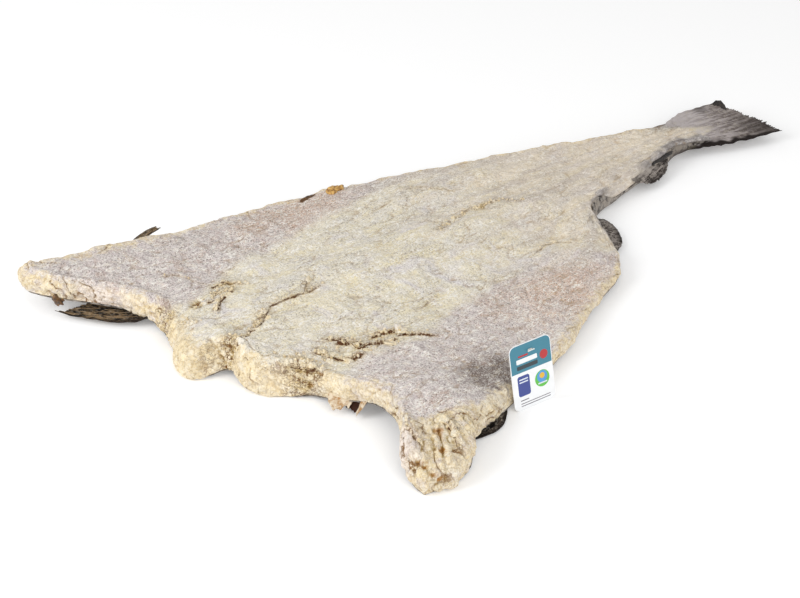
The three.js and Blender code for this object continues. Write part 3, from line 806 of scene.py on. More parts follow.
crease = add(tree, "Math", {0: crease, 1: crease_show}, operation="MULTIPLY")
crease = add(tree, "Math", {0: crease, 1: broken}, operation="MULTIPLY")
crease = add(tree, "Math", {0: crease, 1: calm}, operation="MULTIPLY")

# Fine wrinkles of the worn edge: the level lines of a twisted noise, broken up, drawn in a darker tan
# that is painted shade.
wrinkle = add(tree, "TexNoise", {"Vector": place, "Scale": 1 / (9 * MM), "Detail": 3, "Roughness": 0.6,
                                 "Distortion": 0.8})
wrinkle = add(tree, "Math", {0: wrinkle, 1: 0.5}, operation="SUBTRACT")
wrinkle = add(tree, "Math", {0: wrinkle}, operation="ABSOLUTE")
wrinkle = add(tree, "MapRange", {0: wrinkle, 1: 0.04, 2: 0.01, 4: ragged})
wrinkle = add(tree, "Math", {0: wrinkle, 1: broken}, operation="MULTIPLY")
wrinkle_shade = add(tree, "Math", {0: wrinkle, 1: 0.42}, operation="MULTIPLY")

# Between crumbs and plates run cracks: the borders of two sizes of bent cells, in mm, broken up.
# Their brown is painted shade in the gaps.
bend = add(tree, "TexNoise", {"Vector": place, "Scale": 1 / (9 * MM), "Detail": 3}, "Color")
flat = add(tree, "Mapping", {"Vector": place, "Scale": (0.55, 0.65, 1.1)})
bent = add(tree, "VectorMath", {0: bend, 1: (12 * MM,) * 3, 2: flat}, operation="MULTIPLY_ADD")
crack_show = add(tree, "Math", {0: ragged, 1: russet}, operation="MULTIPLY")
crack_show = add(tree, "Math", {0: crack_show, 1: 0.2}, operation="MULTIPLY")
crack_show = add(tree, "Math", {0: crack_show, 1: crumbly}, operation="MAXIMUM")
crack, raised = 0.0, 0.0
for size, width in [(11, 0.5), (6, 0.3)]:
    gap = add(tree, "TexVoronoi", {"Vector": bent, "Scale": 1 / (size * MM)}, "Distance",
              feature="DISTANCE_TO_EDGE")
    edge = add(tree, "MapRange", {0: gap, 1: width / size, 2: 0.3 * width / size, 4: crack_show})
    crack = add(tree, "Math", {0: edge, 1: crack}, operation="MAXIMUM")
    edge = add(tree, "MapRange", {0: gap, 1: 0.0, 2: 0.12, 4: crack_show})
    raised = add(tree, "Math", {0: edge, 1: raised}, operation="ADD")
crack = add(tree, "Math", {0: crack, 1: broken}, operation="MULTIPLY")

# Each tone is a base colour with others laid over it, by the share of each and its colour or tone.
tones = {}
for key, base, layers in [
        ("loin", "#eee1bb", [(streaks, "#e3dccd"), (bloom, "#dfd8d8")]),
        ("rear loin", "#dccdb1", [(streaks, "#d2c7bd")]),
        ("membrane", "#cdc0be", [(mottle, "#e4d7d1"), (russet, "#c6ad9f")]),
        ("cream", "#eedbaf", [(drifts, "#efe3cb"), (swirl, "#ead5aa"), (bleached, "#f2e7d0"),
                              (rosy, "#f4e6da")]),
        ("greyed", "#7f7875", [(mottle, "#a8a19f")]),
        ("pit brown", "#6f6159", [(ragged, "#a98a5c")]),
        ("flesh", "loin", [(rear, "rear loin"), (flap, "membrane"), (dark_rib, "#c9bcae"),
                           (pale_rib, "#e7d9c4"), (pink, "#d3b39d"), (dark_patch, "#74665f"),
                           (ragged, "cream"), (grey, "greyed"), (pitted, "pit brown"),
                           (dimmed, "pit brown"), (salted, "#f3efe9"), (thread, "#fbf7ef"),
                           # painted shade among the layers below: the hollows' brown, the hollow part of
                           # the juice stains, the wrinkles, the creases, the cracks and the rift lines
                           (cavity_shade, "#bd9d68"), (thin_stain_shade, "#b7984a"), (thick_stain_shade, "#6b431b"),
                           (tan_pit, "#ad7424"), (dark_pit, "#54330f"), (wrinkle_shade, "#b08f5a"),
                           (halo, "#d9bd8a"), (crease, "#876339"), (crack, "#7a4f26"),
                           (line, "#5f3813")])]:
    colour = tones[base] if base in tones else linear(base)
    for share, tone in layers:
        laid = tones[tone] if tone in tones else linear(tone)
        colour = add(tree, "Mix", {0: share, 6: colour, 7: laid}, 2, data_type="RGBA")
    tones[key] = colour
tree.links.new(tones["flesh"], shader.inputs["Base Color"])

relief = add(tree, "MapRange", {0: pits, 1: 0.28, 2: 0.55, 4: 0.5})
relief = add(tree, "Math", {0: grain, 1: 0.5, 2: relief}, operation="MULTIPLY_ADD")
relief = add(tree, "Math", {0: thread, 1: 0.4, 2: relief}, operation="MULTIPLY_ADD")
relief = add(tree, "Math", {0: relief, 1: salty, 2: swirl}, operation="MULTIPLY_ADD")
for share, depth in [(raised, 0.6), (line, -1.2), (crack, -0.6), (crease, -0.5), (wrinkle, -0.5)]:
    relief = add(tree, "Math", {0: share, 1: depth, 2: relief}, operation="MULTIPLY_ADD")
bumped = add(tree, "Bump", {"Strength": 0.75, "Distance": 1.4 * MM, "Height": relief})
tree.links.new(bumped, shader.inputs["Normal"])

flesh.data.materials.append(crust)
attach(flesh, "root")
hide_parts("split_cod")

# ------------------------------------------------------------------- crumbs and flakes on the flesh
# Bits of torn muscle, still joined to the flesh: crumbs along the rifts, on the low ridge towards the
# tail and on the cut neck, and thin flakes beside the rifts. Under them the flesh is whole.

CRUMBS = 620
FLAKES = 36


def ball_grid(rows, columns):
    """Unit points of a sphere on latitudes and longitudes, its poles single points, and its cells."""
    turn = np.arange(columns) * 2 * np.pi / columns
    fall = np.arange(1, rows) * np.pi / rows
    around, down = (a.ravel() for a in np.meshgrid(turn, fall))
    unit = np.stack([np.cos(around) * np.sin(down), np.sin(around) * np.sin(down), np.cos(down)], axis=1)
    unit = np.concatenate([unit, [(0, 0, 1), (0, 0, -1)]])
    number = np.arange((rows - 1) * columns).reshape(rows - 1, columns)
    top, bottom = np.full(columns, len(unit) - 2), np.full(columns, len(unit) - 1)
    caps = [np.stack([top, number[0], np.roll(number[0], -1)], axis=1),
            np.stack([bottom, np.roll(number[-1], -1), number[-1]], axis=1)]
    return unit, [bands(number), *caps]


def grown_on(weight, count, seed, level):
    """Random points of the flesh, chosen by weight, with two directions along it and its normal, and
    the generator for the piece's other random draws. The higher level is, the closer the first
    direction keeps to the horizontal."""
    draw = np.random.default_rng(seed)
    chosen = draw.choice(len(flesh_points), count, p=weight / weight.sum())
    normal = flesh_normals[chosen]
    first = np.cross(normal, draw.normal(size=(count, 3)) + (0, 0, level))
    first /= np.linalg.norm(first, axis=1, keepdims=True)
    return chosen, np.stack([first, np.cross(normal, first), normal], axis=1), draw


def scattered(unit, cells, centres, axes, radii, rough, seed):
    """One mesh of many blobs: the unit points are swelled by noise, taken from another place for each
    blob, stretched by its three radii along its three axes, and moved to its centre."""
    count = len(centres)
    apart = (unit[None] + np.arange(count)[:, None, None] * (3.7, 0, 0)).reshape(-1, 3)
    swell = 1 + rough * noise(apart, 0.8, seed).reshape(count, -1, 1)
    local = unit[None] * swell * radii[:, None, :]
    points = (centres[:, None] + local @ axes).reshape(-1, 3)
    faces = [(part[None] + np.arange(count)[:, None, None] * len(unit)).reshape(-1, part.shape[1])
             for part in cells]
    return points, faces


# Bits grow where the flesh is open, and not down by the board.
open_flesh = (flesh_down < 0.8) * (flesh_points[:, 2] > 5)
unit, cells = ball_grid(6, 8)
weight = torn["crumbly"] ** 2 + 0.2 * torn["rift"] ** 2
chosen, axes, draw = grown_on(weight * open_flesh, CRUMBS, seed=11, level=0)
size = draw.uniform(0.6, 1.7, (CRUMBS, 1)) * draw.uniform(0.5, 1.4, (CRUMBS, 3))
centres = flesh_points[chosen] + axes[:, 2] * size[:, 2:] * 0.1
crumb_points, crumb_faces = scattered(unit, cells, centres, axes, size, rough=0.5, seed=60)
crumb_soil = np.repeat(draw.uniform(0, 0.9, CRUMBS) ** 2, len(unit))
# The lower side of each crumb is painted shade, through the hollow mark.
crumb_underside_shade = np.tile(-unit[:, 2] * 0.5, CRUMBS)
whole = np.ones(len(crumb_soil))  # all cream, and far from any crease
crumb_marks = {"worn": whole, "soil": crumb_soil, "hollow": crumb_underside_shade, "fold": whole}
crumbs = make_piece("crumbs", crumb_points, crumb_faces, crumb_marks)

unit, cells = ball_grid(10, 18)
weight = torn["rift"] ** 2
chosen, axes, draw = grown_on(weight * open_flesh, FLAKES, seed=12, level=3)

# Each flake leans a little away from the flesh, and its three directions are made square again.
lean = draw.normal(0, 0.22, (FLAKES, 2))
axes[:, 2] += axes[:, 0] * lean[:, :1] + axes[:, 1] * lean[:, 1:]
axes[:, 2] /= np.linalg.norm(axes[:, 2], axis=1, keepdims=True)
axes[:, 0] = np.cross(axes[:, 1], axes[:, 2])
axes[:, 0] /= np.linalg.norm(axes[:, 0], axis=1, keepdims=True)
axes[:, 1] = np.cross(axes[:, 2], axes[:, 0])
size = np.column_stack([draw.uniform(3, 7, FLAKES), draw.uniform(2, 4, FLAKES),
                        draw.uniform(0.5, 0.9, FLAKES)])
centres = flesh_points[chosen]
flake_points, flake_faces = scattered(unit, cells, centres, axes, size, rough=0.45, seed=61)
# Each flake's rim is painted a little darker, as shade, through the hollow mark.
flake_rim_shade = np.tile(0.25 * bump(unit[:, 2], 0.4), FLAKES)
flake_marks = {"worn": np.repeat(draw.uniform(0.3, 1, FLAKES), len(unit)), "hollow": flake_rim_shade,
               "fold": np.ones(len(flake_rim_shade))}
flakes = make_piece("flakes", flake_points, flake_faces, flake_marks)

for piece in (crumbs, flakes):
    piece.data.materials.append(crust)
    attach(piece, "root")
    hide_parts("split_cod")

# -------------------------------------------------------------------------------------- the skin
# The cod's own skin, grown to the underside of the flesh: thin, tough, grey and finely scaled. It
# ends low under the cut edges, but has dried up over the rim round the notch behind the belly and
# along the tail, whose right edge is nearly black.

SKIN_THICKNESS = 1.1
SKIN_OUTSIDE = 0.9                # of it below the solid's underside, where it is off the board
ON_BOARD = 1.5                    # lower than this it lies on the board, flat and all inside
SKIN_COLUMNS = 128
SKIN_ROWS = 112
SKIN_CROWDING = 1.2
SKIN_RINGS = 12
HEM_WAVE = 0.05                   # the hem is uneven where it comes high, by this part of the edge

skin_u, skin_v = grid(SKIN_COLUMNS, SKIN_ROWS, SKIN_CROWDING)
sole_x, sole_y = plan_point(skin_u, skin_v, *UNDER_SLOPES)
sole = np.stack([sole_x, sole_y, underside(sole_x, sole_y)], axis=1)
sole_rim = border(SKIN_COLUMNS, SKIN_ROWS)
hem_u, hem_v = skin_u[sole_rim], skin_v[sole_rim]
hem_loops = edge_loops(hem_u, hem_v)
hem_wrap = skin_wrap(hem_u, hem_v)
wave = HEM_WAVE * np.sin(np.arange(len(hem_u)) * 0.9)
hem_wrap = hem_wrap + wave * (hem_wrap > 0.2)
hem_rings = [edge_point(hem_loops, 1 - k / SKIN_RINGS * hem_wrap) for k in range(1, SKIN_RINGS + 1)]
outer = np.concatenate([sole, *hem_rings])
hem_numbers = ring_numbers(sole_rim, len(sole), SKIN_RINGS)
outer_faces = [grid_quads(SKIN_COLUMNS, SKIN_ROWS, flip=True), bands(hem_numbers, flip=True)]
skin_normals = face_normals(outer, outer_faces)
wrinkle = 0.8 * noise(outer * (1, 0.5, 1), 7, 30) + 0.4 * noise(outer, 3.5, 31)
on_board = outer[:, 2] < ON_BOARD
outside = outer + skin_normals * np.where(on_board, 0, SKIN_OUTSIDE + wrinkle)[:, None]
inside = outer - skin_normals * (SKIN_THICKNESS - SKIN_OUTSIDE * ~on_board)[:, None]
skin_points = np.concatenate([outside, inside])
skin_faces = outer_faces + [cells[:, ::-1] + len(outer) for cells in outer_faces]
skin_faces.append(band_quads(hem_numbers[-1] + len(outer), hem_numbers[-1]))

# How far up the rim a place is, where the skin comes high, and how near the tail's dark right edge.
hem = np.repeat(np.arange(1, SKIN_RINGS + 1) / SKIN_RINGS, len(hem_u))
hem *= np.tile(ease(0.3, 0.6, hem_wrap), SKIN_RINGS)
hem = np.concatenate([np.zeros(len(skin_u)), hem])
tail_edge = ease(636, 660, skin_points[:, 1] + 3 * noise(skin_points, 8, 32)) * (skin_points[:, 0] > 0)
tail_edge *= np.tile(1 - 0.7 * ease(0.3, 0.75, hem), 2)
skin = make_piece("skin", skin_points, skin_faces, {"hem": np.tile(hem, 2), "tail_edge": tail_edge})

# Dried cod skin: leathery, matt to slightly greasy, brown-grey with paler blotches, salt dust and
# scales that catch the light. The scales are 1.5 mm, and drawn 4 mm wide so that they show.
hide, tree, shader = new_material("dried cod skin", Roughness=0.6, Specular_IOR_Level=0.3)
place = add(tree, "TexCoord", out="Object")
hem, tail_edge = (add(tree, "Attribute", out="Fac", attribute_name=key)
                  for key in ("hem", "tail_edge"))
blotch = add(tree, "TexNoise", {"Vector": place, "Scale": 1 / (10 * MM), "Detail": 6,
                                "Roughness": 0.75})
blotch = add(tree, "MapRange", {0: blotch, 1: 0.42, 2: 0.58})
dust = add(tree, "TexNoise", {"Vector": place, "Scale": 1 / (4.5 * MM), "Detail": 3, "Roughness": 0.7})
dust = add(tree, "MapRange", {0: dust, 1: 0.49, 2: 0.58, 4: 0.65})
scales = add(tree, "TexVoronoi", {"Vector": place, "Scale": 1 / (4 * MM)})
pale = add(tree, "Math", {0: hem, 1: blotch}, operation="ADD")
pale = add(tree, "MapRange", {0: pale, 1: 0.9, 2: 1.8})
browned = add(tree, "Math", {0: tail_edge, 1: 0.85}, operation="MULTIPLY")
colour = linear("#2f2925")
for share, tone in [(blotch, "#9a9188"), (dust, "#a9a29a"), (pale, "#9a9084"), (browned, "#241813")]:
    colour = add(tree, "Mix", {0: share, 6: colour, 7: linear(tone)}, 2, data_type="RGBA")
tree.links.new(colour, shader.inputs["Base Color"])
bumped = add(tree, "Bump", {"Strength": 0.8, "Distance": 1.1 * MM, "Height": scales})
tree.links.new(bumped, shader.inputs["Normal"])

skin.data.materials.append(hide)
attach(skin, "root")
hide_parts("split_cod")

# -------------------------------------------------------------------------------------- the fins
# What the splitter left on: both pectoral fins under the collars, a curled pelvic spike, two anal
# fringes on the tail's right edge and the tail fin. Bony rays in a dark membrane, dried brittle,
# frayed at the ends, each growing out of the flesh by its root.


def space_curve(stations):
    """The smooth curve through points in space, evenly spaced from 0 to 1 along it."""
    share = np.linspace(0, 1, len(stations))
    axes = [through(list(zip(share, axis))) for axis in np.array(stations, float).T]
    return lambda s: np.stack([axis(s) for axis in axes], axis=1)


def blade(path, widths, rays, ragged, tilt=0, slant=0, rounding=0, root=3.6, tip=1.0, columns=96,
          rows=56, curl=1.2, seed=0):
    """A closed blade on a grid: s runs out along a smooth middle line, u from -1 to 1 across it by
    the half width there. It is thickest along its rays, as the cosine of rays times u, thins from
    root to tip, is tilted down towards u = 1 and curled by noise. Its end is slanted towards one side,
    rounded off at both by the cube of u, and frayed: noise over the rays takes some back, and the web
    between them more."""
    u, v = grid(columns, rows)
    line = space_curve(path)
    half_width = through(list(zip(np.linspace(0, 1, len(widths)), widths)))
    along_ray = np.stack([u * rays, 0 * u, 0 * u + seed], axis=1)
    web = 0.5 - 0.5 * np.cos(2 * np.pi * rays * u)
    uneven = 0.5 + 0.35 * noise(along_ray, 4, 40) + 0.35 * noise(along_ray, 1.3, 41) + 0.22 * web
    s = v * (1 - ragged * np.clip(uneven, 0, 1.2)) * (1 - abs(slant) * (1 - np.sign(slant) * u))
    s *= 1 - rounding * np.abs(u) ** 3
    along = line(s + 0.01) - line(s - 0.01)
    across = np.column_stack([along[:, 1], -along[:, 0]])
    across /= np.maximum(np.linalg.norm(across, axis=1, keepdims=True), 1e-9)
    wavy = noise(np.stack([s * 14, 3 * u, s * 0 + seed], axis=1), 1, 42)
    out = u * half_width(s) * (1 + 0.06 * wavy)
    place = line(s) + np.column_stack([across * out[:, None], -tilt * u])
    place[:, 2] += curl * s * noise(place, 22, 43 + seed) + 0.5 * noise(place, 7, 44 + seed)
    half = mix(root, tip, s) * mix(0.5, 0.3, u * u) * (0.62 + 0.38 * (1 - web) ** 0.7)
    upper, lower = place.copy(), place.copy()
    upper[:, 2] += half
    lower[:, 2] -= half
    rim = border(columns, rows)
    faces = [grid_quads(columns, rows), grid_quads(columns, rows, len(upper), flip=True),
             band_quads(rim, rim + len(upper))]
    points = np.concatenate([upper, lower])
    marks = {"ray": np.tile(1 - web, 2), "reach": np.tile(s, 2), "side": np.tile(u, 2)}
    return points, faces, marks


def fin_material(name, dark, pale, faded, dusty, lengthways=4.0, crossways=10.0):
    """Dried fin: a dull dark web with paler, horn-coloured rays and fine streaks, mottled with a share
    of salt dust, a third colour where it is faded, burnt brown edges, and bare flesh where that runs
    out over it. The dust is drawn in patches of 4 mm so that it shows. The last two say how many
    streaks follow each other from root to tip and from the middle line to one side."""
    material, tree, shader = new_material(name, Roughness=0.65, Specular_IOR_Level=0.2)
    place = add(tree, "TexCoord", out="Object")
    ray, reach, side, fade, edge, cream = (
        add(tree, "Attribute", out="Fac", attribute_name=key)
        for key in ("ray", "reach", "side", "fade", "edge", "cream"))
    long_way = add(tree, "Math", {0: reach, 1: lengthways}, operation="MULTIPLY")
    wide_way = add(tree, "Math", {0: side, 1: crossways}, operation="MULTIPLY")
    blade_place = add(tree, "CombineXYZ", {0: wide_way, 1: long_way})
    streak = add(tree, "TexNoise", {"Vector": blade_place, "Scale": 1.0, "Detail": 4, "Roughness": 0.7})
    streak = add(tree, "MapRange", {0: streak, 1: 0.47, 2: 0.54})
    dust = add(tree, "TexNoise", {"Vector": place, "Scale": 1 / (4 * MM), "Detail": 3, "Roughness": 0.7})
    dust = add(tree, "MapRange", {0: dust, 1: 0.52, 2: 0.6})
    paler = add(tree, "Math", {0: streak, 1: 0.22}, operation="MULTIPLY")
    ray = add(tree, "Math", {0: ray, 1: streak}, operation="MULTIPLY")
    paler = add(tree, "Math", {0: ray, 1: 0.55, 2: paler}, operation="MULTIPLY_ADD")
    fade = add(tree, "Math", {0: streak, 1: 0.35, 2: fade}, operation="MULTIPLY_ADD")
    fade = add(tree, "MapRange", {0: fade, 1: 0.2, 2: 1.05})
    dusted = add(tree, "Math", {0: dust, 1: dusty}, operation="MULTIPLY")
    mottle = add(tree, "TexNoise", {"Vector": place, "Scale": 1 / (10 * MM), "Detail": 4,
                                    "Roughness": 0.62})
    mottle = add(tree, "MapRange", {0: mottle, 1: 0.36, 2: 0.64})
    flesh_tone = add(tree, "Mix", {0: mottle, 6: linear("#d8ccb0"), 7: linear("#c9c1ba")}, 2,
                     data_type="RGBA")
    colour = linear(dark)
    for share, tone in [(paler, linear(pale)), (fade, linear(faded)), (dusted, linear("#b4ab9f")),
                        (edge, linear("#1c130f")), (cream, flesh_tone)]:
        colour = add(tree, "Mix", {0: share, 6: colour, 7: tone}, 2, data_type="RGBA")
    tree.links.new(colour, shader.inputs["Base Color"])
    relief = add(tree, "Math", {0: streak, 1: dust}, operation="ADD")
    bumped = add(tree, "Bump", {"Strength": 0.5, "Distance": 0.6 * MM, "Height": relief})
    tree.links.new(bumped, shader.inputs["Normal"])
    return material


dark_fin = fin_material("dried fin, dark", "#0d0705", "#d6b488", "#20150f", 0.22, 7.0, 7.0)
salted_fin = fin_material("dried fin, salted", "#0f0b0a", "#6b5f54", "#2b2320", 0.55, 7.0, 7.0)
grey_fin = fin_material("dried fin, grey", "#4b433e", "#b3aaa3", "#b3aaa1", 0.55, 6.0, 7.0)
lobe_skin = fin_material("dried fin lobe", "#3a332f", "#a29992", "#aaa199", 0.3, 12.0, 1.6)
tail_web = fin_material("dried tail fin", "#6e6460", "#b1a7a3", "#b8b0af", 0.45)

# Each fin's finish, its middle line and half widths from root to tip in mm, and its form.
fins = {
    "left_pectoral_fin": (
        dark_fin, [(-133, 20, 20), (-158, -4, 8), (-192, -31, 7), (-227, -66, 9)], [12, 20, 21, 7],
        {"rays": 10, "ragged": 0.09, "slant": -0.16, "curl": 2, "seed": 1}),
    "right_pectoral_fin": (
        salted_fin, [(180, 58, 32), (201, 96, 6), (215, 128, 2.6), (206, 166, 2.6)], [13, 24, 23, 8],
        {"rays": 9, "ragged": 0.16, "curl": 0.4, "seed": 2}),
    "left_pelvic_fin": (
        dark_fin, [(-224, 36, 27), (-236, 54, 33), (-238, 72, 37), (-238, 91, 38.5)], [4, 4.5, 4.5, 3.5],
        {"rays": 2, "ragged": 0.3, "columns": 48, "seed": 3}),
    "front_anal_fin": (
        grey_fin, [(52, 440, 11), (66, 461, 9), (80, 482, 6)], [38, 33, 28],
        {"rays": 11, "ragged": 0.06, "rounding": 0.2, "tilt": 2, "seed": 4}),
    "rear_anal_fin": (
        lobe_skin, [(-4, 602, 22), (11, 605, 19), (29, 609, 8)], [40, 39, 31],
        {"rays": 11, "ragged": 0.07, "rounding": 0.3, "root": 5, "seed": 5}),
    "tail_fin": (
        tail_web, [(-14, 682, 17), (-9, 718, 18), (3, 758, 18), (18, 813, 20)], [23, 36, 40, 44],
        {"rays": 19, "ragged": 0.08, "tilt": 5, "slant": 0.12, "columns": 180, "rows": 80, "seed": 6})}
for name, (finish, path, widths, form) in fins.items():
    points, faces, marks = blade(path, widths, **form)
    x, y = points.T[:2]
    reach, side = marks["reach"], marks["side"]
    if name == "tail_fin":          # bare flesh at its root, dark ends and right edge
        wander = 5 * noise(points, 12, 25) + 3 * noise(points, 5, 26)
        marks["cream"] = tongue(x + 0.5 * wander, y + wander)
        marks["fade"] = np.maximum((1.2 - 1.5 * reach) * (1 - 0.25 * side),
                                   1.1 * patch(x, y, (-42, 715), 20, 50))
        frayed = reach + 0.1 * noise(points, 6, 46)
        uneven_side = side + 0.15 * noise(points, 9, 47)
        marks["edge"] = np.max([ease(0.7, 0.93, uneven_side), 0.9 * ease(0.82, 0.95, frayed),
                                0.75 * ease(0.55, 0.9, frayed) * ease(-1.2, 0.7, uneven_side),
                                0.6 * patch(x, y, (-36, 752), 14, 16)], axis=0)
    elif name == "rear_anal_fin":   # a fleshy lobe, pale at its root, with a dark rear side
        blotch = 0.16 * noise(points, 7, 48)
        marks["fade"] = 1.1 * (1 - ease(0.3, 0.9, reach + blotch))
        marks["cream"] = 1 - ease(0.2, 0.5, reach + blotch)
        marks["edge"] = np.maximum(0.85 * ease(0.45, 0.9, 2 * blotch - side),
                                   0.8 * ease(0.8, 1, reach + blotch))
    else:
        marks["fade"] = 0.8 * (1 - ease(0.1, 0.6, reach))
        frayed = np.maximum(reach, np.abs(side)) + 0.06 * noise(points, 6, 46)
        marks["edge"] = 0.85 * ease(0.82, 0.98, frayed)
    piece = make_piece(name, points, faces, marks)
    piece.data.materials.append(finish)
    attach(piece, "root")
    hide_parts("split_cod")

# ---------------------------------------------------------------------- loose scraps on the edge
# Bits that the knife left on the rim: dried drops of fat and blood, orange and brown, a black curl of
# skin by the rear anal fin, a spike broken up from the tail fin's first ray, and torn strips of the
# belly membrane, stiff as parchment, that hang from the cut edge by a corner, with a dark brown sheet
# behind them that is painted shade.


def ball(name, centre, radii, rough, seed):
    """A closed blob: a sphere pushed out and in along its radius by noise and scaled to three radii."""
    unit, cells = ball_grid(28, 40)
    swell = 1 + rough * noise(unit, 0.9, seed) + 0.5 * rough * noise(unit, 0.4, seed + 1)
    return make_piece(name, centre + unit * swell[:, None] * radii, cells)


def drop_material(name, dark, pale):
    """Dried fat, blood or juicy skin: smooth and a little glossy, mottled between two colours."""
    material, tree, shader = new_material(name, Roughness=0.42)
    place = add(tree, "TexCoord", out="Object")
    mottle = add(tree, "TexNoise", {"Vector": place, "Scale": 1 / (3.5 * MM), "Detail": 3})
    mottle = add(tree, "MapRange", {0: mottle, 1: 0.36, 2: 0.64})
    colour = add(tree, "Mix", {0: mottle, 6: linear(dark), 7: linear(pale)}, 2, data_type="RGBA")
    tree.links.new(colour, shader.inputs["Base Color"])
    return material


fat = drop_material("dried fat", "#85551a", "#dcb268")
blood = drop_material("dried blood", "#24130a", "#755128")
nub = drop_material("dried fin nub", "#0a0807", "#332a24")

# The drops and the curl: centre and three radii in mm, and finish.
for name, centre, radii, finish in [
        ("fat_drop", (-187, 293, 24), (6, 10, 4.5), fat),
        ("edge_scab", (-195, 260, 24), (2.5, 9, 1.2), blood),
        ("blood_drop", (-219, -61, 18), (8, 4, 4.5), blood),
        ("rear_fin_curl", (9, 625, 20), (4.5, 17, 3), nub)]:
    drop = ball(name, centre, radii, rough=0.7, seed=50)
    drop.data.materials.append(finish)
    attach(drop, "root")
    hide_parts("split_cod")

# The spike of the tail fin's first ray sticks up at its left corner.
points, faces, _ = blade([(-20, 764, 17), (-25, 773, 22), (-31, 781, 27)], [13, 10, 2.5], rays=2,
                         ragged=0.1, columns=24, rows=16, seed=7)
spike = make_piece("tail_nub", points, faces)
spike.data.materials.append(nub)
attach(spike, "root")
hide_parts("split_cod")

# Cream strips of the belly membrane with a dark brown sheet behind them, which is painted shade: how
# much of each is cream rather than that dark brown, its middle line and half widths from root to tip in
# mm, and its form.
shreds = {
    "membrane_scrap": (
        0.9, [(106, 52, 22), (109, 42, 14), (118, 34, 4)], [16, 13, 5],
        {"rays": 1, "ragged": 0.35, "root": 1.6, "tip": 0.8, "columns": 48, "rows": 32, "seed": 8}),
    "membrane_shred": (
        0.8, [(131, 55, 20), (131, 48, 12), (128, 43, 3)], [3.5, 3, 3],
        {"rays": 2, "ragged": 0.2, "root": 1.4, "tip": 0.8, "columns": 24, "rows": 32, "seed": 9}),
    # the dark sheet: painted shade of the hollow behind the strips
    "membrane_shade_sheet": (
        0.0, [(116, 60, 22), (119, 53, 14), (121, 44, 3)], [15, 13, 6],
        {"rays": 2, "ragged": 0.15, "root": 1.4, "tip": 0.7, "columns": 32, "rows": 24, "seed": 10})}

# Dried belly membrane: a dull parchment, cream with tan stains, and dark brown, which is painted shade
# on the sheet behind the strips and lies a little on the strips too.
sheer, tree, shader = new_material("dried belly membrane", Roughness=0.6, Specular_IOR_Level=0.15)
place = add(tree, "TexCoord", out="Object")
cream_share = add(tree, "Attribute", out="Fac", attribute_name="cream_share")
mottle = add(tree, "TexNoise", {"Vector": place, "Scale": 1 / (5 * MM), "Detail": 4, "Roughness": 0.7})
mottle = add(tree, "MapRange", {0: mottle, 1: 0.38, 2: 0.56})
colour = add(tree, "Mix", {0: mottle, 6: linear("#b58a58"), 7: linear("#e9dbc3")}, 2, data_type="RGBA")
colour = add(tree, "Mix", {0: cream_share, 6: linear("#33190b"), 7: colour}, 2, data_type="RGBA")
tree.links.new(colour, shader.inputs["Base Color"])
bumped = add(tree, "Bump", {"Strength": 0.7, "Distance": 0.8 * MM, "Height": mottle})
tree.links.new(bumped, shader.inputs["Normal"])
for name, (share, path, widths, form) in shreds.items():
    points, faces, _ = blade(path, widths, **form)
    piece = make_piece(name, points, faces, {"cream_share": np.full(len(points), share)})
    piece.data.materials.append(sheer)
    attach(piece, "root")
    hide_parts("split_cod")

# ------------------------------------------------------------------------ the hang tag and its pin
# A printed card in a clear laminate, 50 by 69 mm with round corners, that leans back against the
# rim of the right flap. A nylon tagging pin shot into the flap holds it by its punched hole.

TAG_WIDTH = 50
TAG_HEIGHT = 69
CARD_THICKNESS = 0.6
INK_THICKNESS = 0.05              # drawn thicker than ink, so that it never sinks into the card
INK_SUNK = 0.2
TAG_CORNER = 7
WHITE_RIM = 0.7                   # of bare card round the header's ink
HEADER_FOOT = 39.5
HOLE_RADIUS = 2.5
HOLE_UP = 60                      # centre of the hole above the tag's foot
TAG_FOOT = np.array([231.5, 187.5, 0])
TAG_TURN = math.radians(81.7)     # of its bottom edge, from +X
TAG_LEAN = math.radians(12.5)     # back from upright
tag_across = np.array([math.cos(TAG_TURN), math.sin(TAG_TURN), 0])
tag_up = np.array([-math.sin(TAG_TURN) * math.sin(TAG_LEAN), math.cos(TAG_TURN) * math.sin(TAG_LEAN),
                   math.cos(TAG_LEAN)])
tag_out = np.cross(tag_across, tag_up)


def on_tag(points):
    """Points of the fish's frame from places on the tag, in mm across from the middle of its print, up
    from its foot and out from its back."""
    return TAG_FOOT + np.asarray(points, float) @ np.stack([tag_across, tag_up, tag_out])


def rounded_box(left, right, low, high, low_corner, high_corner=None, per_corner=9):
    """A rectangle's outline, anticlockwise, with quarter circles of two radii at its corners."""
    high_corner = low_corner if high_corner is None else high_corner
    quarter = np.linspace(0, np.pi / 2, per_corner)
    points = []
    for k, (x, y, radius) in enumerate([(right, high, high_corner), (left, high, high_corner),
                                        (left, low, low_corner), (right, low, low_corner)]):
        turn = quarter + k * np.pi / 2
        across = x - np.sign(x - (left + right) / 2) * radius
        up = y - np.sign(y - (low + high) / 2) * radius
        points.append(np.column_stack([across + radius * np.cos(turn), up + radius * np.sin(turn)]))
    return np.concatenate(points)


def disc(across, up, radius, points=48):
    """A circle's outline, anticlockwise."""
    turn = np.arange(points) * 2 * np.pi / points
    return np.column_stack([across + radius * np.cos(turn), up + radius * np.sin(turn)])


